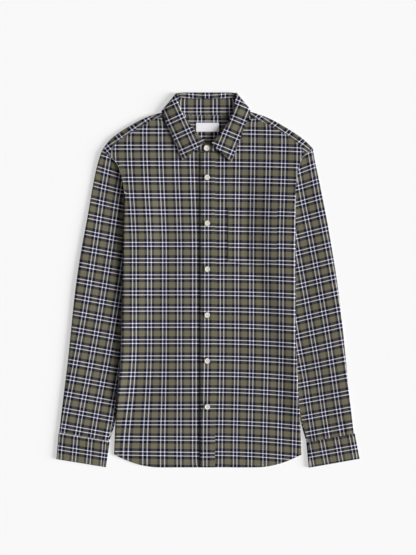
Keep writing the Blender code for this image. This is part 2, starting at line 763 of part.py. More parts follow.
def ring():
    """The neck ring from the right front edge round to the left one, as ribs: points in
    the middle of the ring, the way up the collar and the way out of the neck."""
    found = []
    for side, sense in (("right", 1), ("left", -1)):
        half = [(90, station) for station in COLLAR_FRONT[side]]
        half += [(angle, COLLAR_CORNER[side]) for angle in CORNER_TURNS]
        half += [(-90, station) for station in COLLAR_BACK[side]]
        if side == "right":
            half.append((-90, COLLAR_MIDDLE))
        found += [(side, *entry) for entry in half[::sense]]
    placed = []
    for side, angle, station in found:
        corner = COLLAR_CORNER[side]
        fold = np.subtract(corner.roll, corner.edge)
        sideways = np.array((-fold[1], fold[0], 0)) / np.linalg.norm(fold)
        if side == "left":
            sideways = -sideways
        turn = math.radians(angle)
        neck, roll, edge = (
            np.array((*point, RING_HEIGHT)) for point in (station.neck, station.roll, station.edge)
        )
        if angle in CORNER_TURNS:
            roll, edge = roll - sideways * FALL_RADIUS, edge - sideways * FALL_RADIUS
            neck = neck - sideways * STAND_RADIUS
        up = (roll - neck) / np.linalg.norm(roll - neck)
        out = sideways * math.cos(turn) + np.array((0, 0, math.sin(turn)))
        placed.append(Rib(side, angle, station, neck, roll, edge, up, out))
    return placed


def collar_stand():
    rows = []
    for rib in ring():
        rim = rib.roll - rib.up * rib.station.inside
        over = BAND + SEAM if rib.side == "left" and rib.angle == 90 else 0.0
        row = []
        for c in range(STAND_CELLS + 1):
            point = rib.neck + (rim - rib.neck) * c / STAND_CELLS + rib.out * STAND_RADIUS
            point[2] += over * float(eased((OVER_FROM - point[0]) / OVER_OVER))
            row.append(tuple(point))
        rows.append(row)
    rows.insert(0, stand_end(rows[0], UNDER_STAND))
    rows += [stand_end(rows[-1], end) for end in OVER_STAND]
    return cloth("collar_stand", rows, PLAID, wall=BAND, at=(2, 1))


def stand_end(row, end):
    """An end of the stand, past the collar's front edge, rounded at its two corners."""
    points = []
    for c, (_, _, z) in enumerate(row):
        share = c / (len(row) - 1)
        across = end.inset * abs(2 * share - 1) ** 3
        y = END_BOTTOM + END_HEIGHT * share + 0.5 * end.inset * (0.5 - share)
        points.append((end.x - math.copysign(across, end.x), y, z + end.drop))
    return points


def collar():
    inner = STAND_RADIUS - BAND
    roll_radius = (FALL_RADIUS - inner) / 2
    rows = []
    for rib in ring():
        upper = rib.angle == 90
        lift = np.array((0, 0, rib.station.rise + (BAND + SEAM) * upper))
        begin = rib.roll - rib.up * (rib.station.inside - SEAM)
        turn_start = rib.roll - rib.up * roll_radius
        row = [begin + rib.out * inner + lift, turn_start + rib.out * inner + lift]
        for step in range(1, ROLL_CELLS):
            turn = math.pi * step / ROLL_CELLS
            along = rib.up * roll_radius * math.sin(turn)
            across = rib.out * (inner + roll_radius * (1 - math.cos(turn)))
            row.append(turn_start + along + across + lift)
        top = turn_start + rib.out * FALL_RADIUS + lift
        low = rib.edge + rib.out * FALL_RADIUS + lift * FRONT_LIFT
        row.append(top)
        for c in range(1, FALL_CELLS + 1):
            share = c / FALL_CELLS
            belly = FALL_BELLY * math.sin(math.pi * share) * (rib.angle > 0)
            row.append(top + (low - top) * share + np.array((0, 0, belly)))
        rows.append([tuple(point) for point in row])
    return cloth("collar", rows, PLAID, wall=BAND, at=(1, ROLL_CELLS + 2))


# ------------------------------------------------------------------ label and buttons


def neck_label():
    (x0, y0), (width, height) = LABEL_CENTRE, LABEL_SIZE
    rows = []
    for r in range(LABEL_ROWS + 1):
        y = y0 + height * (0.5 - r / LABEL_ROWS)
        z = yoke_underside(x0, y) + CLOTH + CLEAR + LABEL_WALL
        rows.append([
            (x0 + width * (c / LABEL_CELLS - 0.5), y, z) for c in range(LABEL_CELLS + 1)
        ])
    return cloth("neck_label", rows, LABEL_WHITE, wall=LABEL_WALL)


def button(name, x, y, base):
    """Turned disc with a raised rim and a shallow well."""
    bm = bmesh.new()
    foot = bm.verts.new((x * MM, y * MM, base * MM))
    well = bm.verts.new((x * MM, y * MM, (base + BUTTON_PROFILE[-1].rise * BUTTON_HEIGHT) * MM))
    rings = []
    for turned in BUTTON_PROFILE:
        z = (base + turned.rise * BUTTON_HEIGHT) * MM
        row = []
        for i in range(BUTTON_SIDES):
            turn = 2 * math.pi * i / BUTTON_SIDES
            out = BUTTON_RADIUS * turned.out
            row.append(bm.verts.new(
                ((x + out * math.cos(turn)) * MM, (y + out * math.sin(turn)) * MM, z)
            ))
        rings.append(row)
    for i in range(BUTTON_SIDES):
        j = (i + 1) % BUTTON_SIDES
        for lower, upper in zip(rings, rings[1:]):
            bm.faces.new((lower[i], lower[j], upper[j], upper[i]))
        bm.faces.new((foot, rings[0][j], rings[0][i]))
        bm.faces.new((well, rings[-1][i], rings[-1][j]))
    mesh = bpy.data.meshes.new(name)
    bm.to_mesh(mesh)
    bm.free()
    body = bpy.data.objects.new(name, mesh)
    bpy.context.scene.collection.objects.link(body)
    finish(body, IVORY, roughness=0.35)
    return body


def buttons():
    tab_top = RING_HEIGHT + STAND_RADIUS + BAND + SEAM
    button("button_stand", STAND_BUTTON_X, STAND_BUTTON_Y, tab_top + CLEAR)
    for i in range(PLACKET_BUTTONS):
        y = FIRST_BUTTON_Y - BUTTON_STEP * i
        button(f"button_{i + 1}", BUTTON_X, y, front_height(BUTTON_X, y) + CLOTH + 2 * CLEAR)


for old in list(bpy.data.objects):
    bpy.data.objects.remove(old)
fronts()
placket()
pocket()
back()
yoke()
for wearer_side in SIDES:
    sleeve(wearer_side)
    cuff(wearer_side)
collar_stand()
collar()
neck_label()
buttons()
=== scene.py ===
"""Oxford shirt in olive, navy and white plaid, buttoned and laid flat on its back.

Sizes are in millimetres and are turned into metres where a mesh gets its points.
x runs to the wearer's left, y from the hem to the collar, z up off the floor.
"""

import math
from collections import namedtuple

import bpy
import numpy as np
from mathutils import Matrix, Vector


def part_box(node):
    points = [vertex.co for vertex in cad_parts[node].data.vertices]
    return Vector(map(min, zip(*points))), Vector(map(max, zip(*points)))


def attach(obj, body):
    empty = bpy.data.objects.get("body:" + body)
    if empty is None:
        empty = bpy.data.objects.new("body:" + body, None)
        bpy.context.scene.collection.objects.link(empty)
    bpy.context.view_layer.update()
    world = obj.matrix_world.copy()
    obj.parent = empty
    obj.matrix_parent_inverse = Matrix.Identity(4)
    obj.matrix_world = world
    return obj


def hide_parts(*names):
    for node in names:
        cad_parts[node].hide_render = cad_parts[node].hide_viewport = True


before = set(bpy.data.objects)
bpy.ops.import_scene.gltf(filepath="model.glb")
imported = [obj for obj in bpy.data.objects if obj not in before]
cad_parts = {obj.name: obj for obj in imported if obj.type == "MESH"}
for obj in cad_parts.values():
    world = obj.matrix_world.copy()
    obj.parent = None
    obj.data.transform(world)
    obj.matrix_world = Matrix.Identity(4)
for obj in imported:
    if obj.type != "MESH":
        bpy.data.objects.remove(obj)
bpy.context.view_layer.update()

# ---------------------------------------------------------------- camera
# The shirt was photographed from straight above with a long lens. One pixel of the
# photo is 2.14 mm on the floor, and the shirt's origin lies a little off its middle.

MM = 0.001
PIXEL = 2.14
PHOTO_WIDTH, PHOTO_HEIGHT = 416, 555
ORIGIN_COLUMN, ORIGIN_ROW = 207.8, 280.4
LENS, SENSOR = 100.0, 36.0

camera_height = PHOTO_HEIGHT * PIXEL * MM * LENS / SENSOR
bpy.ops.object.camera_add(
    location=(
        (PHOTO_WIDTH / 2 - ORIGIN_COLUMN) * PIXEL * MM,
        (ORIGIN_ROW - PHOTO_HEIGHT / 2) * PIXEL * MM,
        camera_height,
    ),
    rotation=(0, 0, 0),
)
camera = bpy.context.object
camera.name = "camera_above"
camera.data.lens = LENS
camera.data.sensor_width = SENSOR
camera.data.sensor_fit = "AUTO"
bpy.context.scene.camera = camera

# ---------------------------------------------------------------- floor and light
# A near-white light table, which glows a little. A broad low lamp stands off the shirt's
# left sleeve and casts the shadows, and a soft one above fills them.

FLOOR_SIZE, FLOOR_BELOW = 12, 0.0003  # metres
FLOOR_TONE, FLOOR_GLOW = 0.41, 0.505
SURROUND_COLOUR, SURROUND_GLOW = (0.98, 0.985, 1.0, 1), 0.05

# Each lamp as elevation, turn from the shirt's left sleeve, strength and softness
Lamp = namedtuple("Lamp", "elevation turn strength softness")
LAMPS = {
    "side_light": Lamp(20, -8, 7.9, 28),
    "top_light": Lamp(80, 0, 0.5, 70),
}


def new_material(name, finish):
    """A material with its shader's own sockets set, such as how rough it is."""
    material = bpy.data.materials.new(name)
    material.use_nodes = True
    for socket, value in finish.items():
        material.node_tree.nodes["Principled BSDF"].inputs[socket].default_value = value
    return material


bpy.ops.object.select_all(action="DESELECT")
bpy.ops.mesh.primitive_plane_add(size=FLOOR_SIZE, location=(0, 0, -FLOOR_BELOW))
floor = bpy.context.object
floor.name = "floor"
floor.data.materials.append(new_material("pale floor", {
    "Base Color": (FLOOR_TONE, FLOOR_TONE, FLOOR_TONE, 1),
    "Emission Color": (1, 1, 1, 1),
    "Emission Strength": FLOOR_GLOW,
    "Roughness": 0.9,
    "Specular IOR Level": 0.1,
}))

for name, lamp in LAMPS.items():
    bpy.ops.object.light_add(type="SUN", location=(1.5, 0, 1))
    sun = bpy.context.object
    sun.name = name
    sun.data.energy = lamp.strength
    sun.data.angle = math.radians(lamp.softness)
    elevation, turn = math.radians(lamp.elevation), math.radians(lamp.turn)
    towards = Vector((
        math.cos(elevation) * math.cos(turn),
        math.cos(elevation) * math.sin(turn),
        math.sin(elevation),
    ))
    sun.rotation_euler = towards.to_track_quat("Z", "Y").to_euler()

surround = bpy.data.worlds.new("pale surround")
surround.use_nodes = True
surround.node_tree.nodes["Background"].inputs["Color"].default_value = SURROUND_COLOUR
surround.node_tree.nodes["Background"].inputs["Strength"].default_value = SURROUND_GLOW
bpy.context.scene.world = surround
bpy.context.scene.view_settings.view_transform = "Standard"

# ---------------------------------------------------------------- front, wearer's right
# The under front: one panel of yarn-dyed oxford cloth from the yoke seam to the hem. It
# is turned round the side fold onto the underside, where it meets the back panel.

CLOTH = 1.0  # wall of the cloth, which is thinner in the real shirt
SEAM = 0.45  # between two pieces that are sewn edge to edge
CLEAR = 0.5  # between a sleeve and the body that lies on it

# How thick the flat shirt lies, from outer face to outer face
BODY_MIDDLE, SIDE_FOLD, HEM_FOLD, SHOULDER_FOLD = 5.8, 8.0, 3.4, 5.6
TUCKED = 3.1  # the sleeve where the body lies on it
LIFT = TUCKED + CLEAR  # the body's underside there
CROWN_REACH = 40.0  # the body goes from its side fold to its middle over about this
SHOULDER_REACH = 35.0  # and the shoulder fold's thickness fades out over about this
MIDDLE_BLEND = 60.0  # the two sides' heights meet over this on either side of the middle

# Heights along the body, from the middle of the shirt
HEM, ARMPIT, NECK_FRONT = -400.0, 76.0, 274.0
HEM_CLOSES = 110.0  # the layers close over this much above the hem
HEM_BELLY, BELLY_CREST, BELLY_REACH = 0.3, 0.2, 90.0  # and the body's middle stays up
LOWEST_FOLD = 200.0  # above this the side folds run on under the sleeve heads
RAISED_END, RAISED_OVER = 275.0, 80.0  # the body lies on the sleeves below this
TAPER, TAPER_END = 16.0, 30.0  # inside of the sleeve the underside comes to the floor
RIDGE = 36.0  # and the top comes down as far past the sleeve's edge
TURNED_IN = 56.0  # front cloth folded under, from the side fold to the side seam
UNDERLAP, NECK_CLEAR = 16.0, 0.4
DIP_START, DIP_OVER, DIP = -40.0, 20.0, 1.1 + SEAM  # to pass under the left front

# The hem is level in the middle of the body, then a curve, then straight to the side seam
HEM_LEVEL, HEM_CURVE, HEM_BEND, HEM_SLOPE = 110.0, 90.0, 0.0033, 0.35

ARC_CELLS, STRIP_CELLS, LOWER_ROWS = 4, 4, 15
FRONT_CELLS = {"right": 10, "left": 11}
FOLD_STARTS = (0.25, 0.5, 0.75)  # how far the side fold has turned at its first rows
ROUNDINGS, SMOOTH_BELOW = 2, 50
SIDES = {"right": -1, "left": 1}

Edge = namedtuple("Edge", "height right left")
SIDE_EDGE = [  # x of the side folds
    Edge(210, -177.8, 187.4),
    Edge(86, -182.0, 187.9),
    Edge(-106, -185.6, 188.0),
    Edge(-165, -187.6, 190.4),
    Edge(-200, -189.4, 191.4),
    Edge(-240, -194.6, 194.2),
    Edge(-300, -198.1, 198.2),
    Edge(-372, -200.7, 200.6),
    Edge(-405, -201.0, 200.8),
]
PARTING = {"right": -240.0, "left": -276.0}  # height where the sleeve comes clear
PART_ABOVE, PART_OVER = 55.0, 50.0  # the body comes down off the sleeve above that

# Armhole seam from the shoulder tip to where the body's fold hides it, and from there to
# the armpit. The front yoke seam ends on its row YOKE_CORNER.
ARMHOLE = {
    "right": [(-227, 277), (-218, 270.8), (-209.5, 265), (-199, 256.5), (-191.3, 245),
              (-183.2, 218.9), (-178.3, 186)],
    "left": [(225, 282), (216.5, 275), (208.5, 269), (200.5, 260), (195, 243),
             (190, 218), (187.4, 190)],
}
HiddenSeam = namedtuple("HiddenSeam", "inwards down")
HIDDEN_ARMHOLE = [
    HiddenSeam(4.5, 0.19),
    HiddenSeam(20, 0.54),
    HiddenSeam(39, 0.8),
    HiddenSeam(TURNED_IN - SEAM, 1.0),
]
YOKE_CORNER = 2

# Front yoke seam, neck seam and shoulder fold, from the front or the neck outwards
YOKE_FRONT = {
    "right": [(-96, 354.5), (-131.2, 335.8), (-157.1, 320.1), (-179.1, 307.3),
              (-196, 295), (-205, 281), (-209.5, 265)],
    "left": [(92, 352.5), (125, 335.5), (150, 322), (171.6, 309),
             (190.2, 296), (201, 284), (208.5, 269)],
}
NECK_SEAM = {
    "right": [(-12, 275.6), (-30, 280), (-51, 292.6), (-69, 311.5), (-83, 334)],
    "left": [(11, 275.3), (28, 279.3), (48, 291.5), (65, 310.2), (78, 332.5)],
}
SHOULDER = {
    "right": [(-95.5, 359.6), (-103, 358.4), (-123.7, 353), (-149.4, 341.1),
              (-170.8, 328.3), (-198.6, 311.2), (-211.4, 300.5), (-222.1, 289.8), (-227, 277)],
    "left": [(89.5, 361), (97, 360), (118.1, 353), (143.8, 341.1),
             (165.2, 328.3), (193, 311.2), (208, 300.5), (220.8, 290.5), (225, 282)],
}
# The sleeve's edge under the body, from the armpit to the cuff
SLEEVE_INNER = {
    "right": [(-128, 76), (-146.2, 1), (-164.4, -85), (-177.2, -149), (-187.9, -202),
              (-191.8, -232), (-196.4, -290), (-201.2, -322), (-210.8, -343.3)],
    "left": [(134, 76), (145, 1), (163, -85), (175.9, -149), (186.6, -213),
             (191.8, -266.6), (198.2, -302.4), (204.2, -326), (211.3, -346.5)],
}

# Unevenness of the fronts: a crease down through the pocket with a low ridge beside it,
# slow waves that end short of the side folds, and a pull beside the buttons
CREASE_X, CREASE_DEPTH, CREASE_WIDTH = 79.6, 1.0, 10
CREASE_DRIFT, DRIFT_FROM, DRIFT_OVER = 45, 60, 100
CREASE_TOP, CREASE_FOOT, CREASE_FADES = 262, -60, 60
RIDGE_HEIGHT, RIDGE_AWAY, RIDGE_WIDTH = 0.35, 20, 12
WAVE_HEIGHT, SLANT_HEIGHT = 0.22, 0.16
WAVES_END, WAVES_FADE = 186, 30
PULL_HEIGHT, PULL_AWAY, PULL_WIDTH = 0.3, 24, 16
PULL_TOP, PULL_FADES = 250, 30
FIRST_BUTTON_Y, BUTTON_STEP = 220.0, 98.0

# The plaid: the stripes of one repeat, from the middle of its pair of white lines to
# halfway to the next pair
WARP_REPEAT, WEFT_REPEAT = 32.4, 34.6
Stripe = namedtuple("Stripe", "starts yarn")
WARP = [Stripe(0, "navy"), Stripe(2.75, "white"), Stripe(4.9, "navy"), Stripe(10.2, "olive")]
WEFT = [Stripe(0, "navy"), Stripe(3.15, "white"), Stripe(5.0, "navy"), Stripe(11.4, "olive")]
YARNS = {
    "olive": (0.148, 0.135, 0.084, 1),
    "navy": (0.0045, 0.0055, 0.022, 1),
    "white": (0.93, 0.9, 0.93, 1),
}
YARN_WIDTH = 0.55
WARP_SHARE = 0.42  # of what shows; the weft covers the rest
CROSSING = 1.6  # how sharply one yarn gives way to the other
YARN_SHADE = 0.45  # painted shade: how much a dark yarn darkens the colour of a pale one beside it; 1 is not at all
WEAVE_SHOWS = 0.3  # how far single yarns show in the colour
SLUB_FINE, SLUB_LONG = 1800, 60  # thick and thin places, across and along a yarn
SLUB_TONE, SLUB_RELIEF = 0.34, 0.5
FADED_SCALE, FADED_TONE = 9.0, 0.14


def eased(t):
    t = np.clip(t, 0.0, 1.0)
    return t * t * (3 - 2 * t)


def x_of_y(points):
    """x as a function of y along a line of points."""
    line = np.array(sorted(points, key=lambda point: point[1]), float)
    return lambda y: float(np.interp(y, line[:, 1], line[:, 0]))


def reach_along(line):
    """How far each point of a line is from its start, along the line."""
    return np.r_[0, np.cumsum(np.linalg.norm(np.diff(line, axis=0), axis=1))]


def beside(points, side, distance):
    """A seam line moved sideways into the body's cloth, with mitred corners."""
    line = np.array(points, float)
    along = np.diff(line, axis=0)
    normals = np.c_[-along[:, 1], along[:, 0]] / np.linalg.norm(along, axis=1)[:, None]
    before = np.vstack([normals[:1], normals])
    after = np.vstack([normals, normals[-1:]])
    mitre = (before + after) / (1 + (before * after).sum(axis=1))[:, None]
    return line - SIDES[side] * distance * mitre


side_fold = {
    side: x_of_y([(getattr(row, side), row.height) for row in SIDE_EDGE]) for side in SIDES
}
sleeve_inside = {side: x_of_y(SLEEVE_INNER[side]) for side in SIDES}


def in_from_fold(side, x, y):
    """Distance inwards from the side fold."""
    return SIDES[side] * (side_fold[side](y) - x)


def tuck(side, y):
    """How far the sleeve reaches under the body."""
    return in_from_fold(side, sleeve_inside[side](min(y, ARMPIT)), y)


def lying_on_sleeve(side, y):
    """1 where the body lies on the sleeve, down to 0 where the sleeve has come clear."""
    return float(eased((y - PARTING[side] + PART_ABOVE) / PART_OVER))


def underside(side, x, y):
    """Height of the body's underside."""
    beyond = in_from_fold(side, x, y) - tuck(side, y)
    return LIFT * lying_on_sleeve(side, y) * float(eased((TAPER_END - beyond) / TAPER))


def height_on_side(side, x, y):
    """Height of the front's outer face, as one side fold shapes it."""
    inwards = max(0.0, in_from_fold(side, x, min(y, LOWEST_FOLD)))
    flat = float(eased((y - HEM) / HEM_CLOSES))
    height = HEM_FOLD + (SIDE_FOLD - HEM_FOLD) * flat
    height += (BODY_MIDDLE - SIDE_FOLD) * (1 - math.exp(-inwards / CROWN_REACH))
    belly = float(eased(inwards / BELLY_REACH))
    height += (BODY_MIDDLE + BELLY_CREST - height) * HEM_BELLY * (1 - flat) * belly
    raised = LIFT * lying_on_sleeve(side, y) * float(eased((RAISED_END - y) / RAISED_OVER))
    height += raised * float(eased((max(0.0, tuck(side, y)) + RIDGE - inwards) / RIDGE))
    (x0, y0), (x1, y1) = SHOULDER[side][2], SHOULDER[side][5]
    below = (y0 - y) * abs(x1 - x0) + (abs(x) - abs(x0)) * (y1 - y0)
    near = math.exp(-max(0.0, below / math.hypot(x1 - x0, y1 - y0)) / SHOULDER_REACH)
    return SHOULDER_FOLD * near + height * (1 - near)


def front_height(x, y):
    """Outer face of the two fronts, before its creases."""
    left = float(eased((x + MIDDLE_BLEND) / (2 * MIDDLE_BLEND)))
    return (1 - left) * height_on_side("right", x, y) + left * height_on_side("left", x, y)


def right_front_height(x, y):
    """The right front dips to pass under the left one."""
    return front_height(x, y) - DIP * float(eased((x - DIP_START) / DIP_OVER))


def hem_rise(girth):
    """The hem curves up towards the side seam. girth runs round the body from its middle."""
    past = max(0.0, abs(girth) - HEM_LEVEL)
    if past < HEM_CURVE:
        return HEM_BEND * past**2
    return HEM_BEND * HEM_CURVE**2 + HEM_SLOPE * (past - HEM_CURVE)


def lower_height(down):
    """Height along the body at a share of the way from the armpit to the hem."""
    return lambda girth: ARMPIT + (HEM + hem_rise(girth) - ARMPIT) * down


def hidden_armhole(side):
    """The armhole where it runs on under the body's fold to the armpit."""
    start = ARMHOLE[side][-1][1]
    found = []
    for point in HIDDEN_ARMHOLE:
        y = start - point.down * (start - ARMPIT)
        found.append((side_fold[side](y) - SIDES[side] * point.inwards, y))
    return found


def folded_edge(side, y_of, seam=TURNED_IN, turned=1.0):
    """Points from the side fold's upper tangent round to the seam under it."""
    sign = SIDES[side]
    y = y_of(abs(side_fold[side](HEM)))
    edge = side_fold[side](y)
    upper = front_height(edge, y)
    radius = (upper - LIFT * lying_on_sleeve(side, y)) / 2
    points = []
    for step in range(1, ARC_CELLS + 1):
        turn = math.pi * turned * step / ARC_CELLS
        inwards = radius * (1 - math.sin(turn))
        points.append((edge - sign * inwards, y, upper - radius * (1 - math.cos(turn))))
    if turned < 1:
        return points + [points[-1]] * STRIP_CELLS
    for step in range(1, STRIP_CELLS + 1):
        inwards = radius + (seam - radius) * step / STRIP_CELLS
        row_y = y_of(abs(edge) + inwards)
        x = side_fold[side](row_y) - sign * inwards
        points.append((x, row_y, underside(side, x, row_y)))
    return points


def upper_layer(side, columns, height, y_of):
    """Points from a front's free edge to its side fold's upper tangent."""
    start = columns[0]
    row = []
    for column in columns:
        share = (column - start) / (columns[-1] - start)
        y = y_of(abs(side_fold[side](HEM)) * share)
        edge = side_fold[side](y)
        radius = (front_height(edge, y) - LIFT * lying_on_sleeve(side, y)) / 2
        x = start + (edge - SIDES[side] * radius - start) * share
        row.append((x, y, height(x, y) if share < 1 else front_height(edge, y)))
    return row


def with_cloth_places(row, seen, place):
    """Adds each point's place in the flat cloth: by the plaid's own lines where the photo
    shows them, and by the distance along the cloth from there on."""
    found = [(*point, *place(point[0], point[1])) for point in row[:seen]]
    way = 1 if found[-1][3] > found[-2][3] else -1
    for last, point in zip(row[seen - 1 :], row[seen:]):
        across = math.hypot(point[0] - last[0], point[2] - last[2])
        u, v = found[-1][3:]
        found.append((*point, u + way * across, v + point[1] - last[1]))
    return found


def front_panel(side, columns, height, place):
    """Rows of a front, each point with its place in the flat cloth, and the cells left out."""
    arm = ARMHOLE[side]
    neck = [(columns[0], NECK_FRONT)] + NECK_SEAM[side]
    outline = neck + YOKE_FRONT[side] + arm[YOKE_CORNER + 1 :] + hidden_armhole(side)
    outline = beside(outline, side, SEAM)
    outline[: len(neck), 1] -= NECK_CLEAR
    top = outline[: len(columns)]
    seam = outline[len(columns) - 1 :]
    yoke_rows = len(arm) - 1 - YOKE_CORNER
    columns = [*columns[:-1], seam[yoke_rows][0]]
    last = len(columns) - 1
    ends = np.array([(x, seam[yoke_rows][1]) for x in columns])
    reach = reach_along(seam[: yoke_rows + 1])
    rows = []
    for r in range(yoke_rows + 1):
        down = reach[r] / reach[-1]
        bend = seam[r] - (top[-1] * (1 - down) + ends[-1] * down)
        row = []
        for c in range(last + 1):
            x, y = top[c] * (1 - down) + ends[c] * down + bend * (c / last) ** 2
            row.append((x, y, height(x, y)))
        rows.append(row + [row[-1]] * (ARC_CELLS + STRIP_CELLS))
    for turned in FOLD_STARTS:
        y = seam[yoke_rows][1] + (seam[yoke_rows + 1][1] - seam[yoke_rows][1]) * turned
        row = upper_layer(side, columns, height, lambda girth, y=y: y)
        rows.append(row + folded_edge(side, lambda girth, y=y: y, turned=turned))
    for x, y in seam[yoke_rows + 1 :]:
        row = upper_layer(side, columns, height, lambda girth, y=y: y)
        rows.append(row + folded_edge(side, lambda girth, y=y: y, in_from_fold(side, x, y)))
    for down in np.linspace(0, 1, LOWER_ROWS + 1)[1:]:
        y_of = lower_height(down)
        rows.append(upper_layer(side, columns, height, y_of) + folded_edge(side, y_of))
    skip = {(r, c) for r in range(yoke_rows) for c in range(last, len(rows[0]))}
    strip = range(last + ARC_CELLS, len(rows[0]))
    skip |= {(yoke_rows + r, c) for r in range(len(FOLD_STARTS)) for c in strip}
    return [with_cloth_places(row, last + 1, place) for row in rows], skip


def creases(x, y):
    """Unevenness of the fronts, as heights over the smooth form."""
    valley_x = CREASE_X + CREASE_DRIFT * float(eased((DRIFT_FROM - y) / DRIFT_OVER))
    along = float(
        eased((CREASE_TOP - y) / CREASE_FADES) * eased((y - CREASE_FOOT) / CREASE_FADES)
    )
    dip = -CREASE_DEPTH * along * math.exp(-(((x - valley_x) / CREASE_WIDTH) ** 2))
    from_ridge = x - valley_x - RIDGE_AWAY
    dip += RIDGE_HEIGHT * along * math.exp(-((from_ridge / RIDGE_WIDTH) ** 2))
    wave = WAVE_HEIGHT * math.sin(x / 23 + 1.1 * math.sin(y / 71)) * math.sin(y / 83 + x / 190)
    wave += SLANT_HEIGHT * math.sin((x + 0.6 * y) / 31 + 0.7)
    pull = PULL_HEIGHT * math.exp(-(((abs(x) - PULL_AWAY) / PULL_WIDTH) ** 2))
    half_step = BUTTON_STEP / 2
    pull *= math.sin((y - (FIRST_BUTTON_Y - half_step)) * math.pi / half_step)
    inside = float(eased((x + WAVES_END) / WAVES_FADE) * eased((WAVES_END - x) / WAVES_FADE))
    return (dip + wave) * inside + pull * float(eased((PULL_TOP - y) / PULL_FADES))


def cloth_piece(name, rows, wall=CLOTH, skip=(), up=(0, 0, 1), probe=(0, 0), relief=None):
    """A sheet sewn from rows of points (x, y, z, u, v): a grid laid through them, rounded by
    subdivision, creased, and given its wall on the inner side. The face at probe looks up."""
    grid = np.array(rows, float)
    count, width = grid.shape[:2]
    bpy.ops.object.select_all(action="DESELECT")
    bpy.ops.mesh.primitive_grid_add(x_subdivisions=width - 1, y_subdivisions=count - 1, size=1)
    piece = bpy.context.object
    piece.name = name
    mesh = piece.data
    mesh.vertices.foreach_set("co", (grid[..., :3] * MM).ravel())
    corners = np.empty(len(mesh.loops), np.int32)
    mesh.loops.foreach_get("vertex_index", corners)
    places = grid[..., 3:].reshape(-1, 2)[corners] * MM
    mesh.uv_layers[0].data.foreach_set("uv", places.ravel())
    mesh.update()
    first = mesh.polygons[probe[0] * (width - 1) + probe[1]]
    inside_out = first.normal.dot(Vector(up)) < 0
    bpy.context.tool_settings.mesh_select_mode = (False, False, True)
    for polygon in mesh.polygons:
        polygon.select = (polygon.index // (width - 1), polygon.index % (width - 1)) in skip
    bpy.ops.object.mode_set(mode="EDIT")
    bpy.ops.mesh.delete(type="FACE")
    bpy.ops.mesh.select_all(action="SELECT")
    bpy.ops.mesh.remove_doubles(threshold=1e-6)
    bpy.ops.mesh.select_all(action="SELECT")
    if inside_out:
        bpy.ops.mesh.flip_normals()
    bpy.ops.object.mode_set(mode="OBJECT")
    rounded = piece.modifiers.new("rounded", "SUBSURF")
    rounded.levels = rounded.render_levels = ROUNDINGS
    rounded.boundary_smooth = "PRESERVE_CORNERS"
    bpy.ops.object.modifier_apply(modifier=rounded.name)
    if relief:
        for vertex in mesh.vertices:
            x, y, z = vertex.co / MM
            vertex.co.z += relief(x, y) * max(0.0, vertex.normal.z) * MM
    piece["area"] = sum(polygon.area for polygon in mesh.polygons)
    thick = piece.modifiers.new("wall", "SOLIDIFY")
    thick.thickness = wall * MM
    thick.offset = -1
    bpy.ops.object.modifier_apply(modifier=thick.name)
    bpy.ops.object.shade_smooth_by_angle(angle=math.radians(SMOOTH_BELOW))
    piece.data.materials.clear()
    piece.data.materials.append(oxford)
    return piece


def feed(tree, socket, value):
    """Links another node's value to a socket, or sets a plain number or colour on it."""
    if isinstance(value, bpy.types.NodeSocket):
        tree.links.new(value, socket)
    else:
        socket.default_value = value


def math_node(tree, kind, *values):
    node = tree.nodes.new("ShaderNodeMath")
    node.operation = kind
    for socket, value in zip(node.inputs, values):
        feed(tree, socket, value)
    return node.outputs[0]


def mixed(tree, share, first, second):
    mix = tree.nodes.new("ShaderNodeMix")
    mix.data_type = "RGBA"
    feed(tree, mix.inputs["Factor"], share)
    feed(tree, mix.inputs[6], first)
    feed(tree, mix.inputs[7], second)
    return mix.outputs[2]


def power(tree, colour, exponent):
    node = tree.nodes.new("ShaderNodeGamma")
    feed(tree, node.inputs["Color"], colour)
    feed(tree, node.inputs["Gamma"], exponent)
    return node.outputs[0]


def noise_node(tree, vector, scale, detail=2.0):
    node = tree.nodes.new("ShaderNodeTexNoise")
    feed(tree, node.inputs["Vector"], vector)
    feed(tree, node.inputs["Scale"], scale)
    feed(tree, node.inputs["Detail"], detail)
    return node.outputs["Fac"]


def on_cloth(tree):
    """A point's place in the flat cloth, in metres across and along it."""
    uv = tree.nodes.new("ShaderNodeUVMap")
    uv.uv_map = "UVMap"
    return uv.outputs[0]


def stretched(tree, vector, across, along):
    node = tree.nodes.new("ShaderNodeMapping")
    feed(tree, node.inputs["Vector"], vector)
    feed(tree, node.inputs["Scale"], (across, along, 1))
    return node.outputs[0]


def raised(tree, height, strength, depth):
    """Gives the surface a relief from a height of 0..1, with its depth in metres."""
    bump = tree.nodes.new("ShaderNodeBump")
    feed(tree, bump.inputs["Strength"], strength)
    feed(tree, bump.inputs["Distance"], depth)
    feed(tree, bump.inputs["Height"], height)
    tree.links.new(bump.outputs[0], tree.nodes["Principled BSDF"].inputs["Normal"])


def yarn_stripes(tree, place, stripes, repeat):
    """The colour of the yarns that lie at a place across the cloth."""
    half = repeat / 2
    from_pair = math_node(tree, "PINGPONG", place, half * MM)
    ramp = tree.nodes.new("ShaderNodeValToRGB")
    ramp.color_ramp.interpolation = "CONSTANT"
    tree.links.new(math_node(tree, "DIVIDE", from_pair, half * MM), ramp.inputs[0])
    stops = ramp.color_ramp.elements
    stops[0].color = YARNS[stripes[0].yarn]
    stops[1].position = stripes[1].starts / half
    stops[1].color = YARNS[stripes[1].yarn]
    for stripe in stripes[2:]:
        stops.new(stripe.starts / half).color = YARNS[stripe.yarn]
    return ramp.outputs[0]


def ribs(tree, place):
    """A wave across the yarns, which changes its sign from each one to the next."""
    return math_node(
        tree, "SINE", math_node(tree, "MULTIPLY", place, math.pi / (YARN_WIDTH * MM))
    )


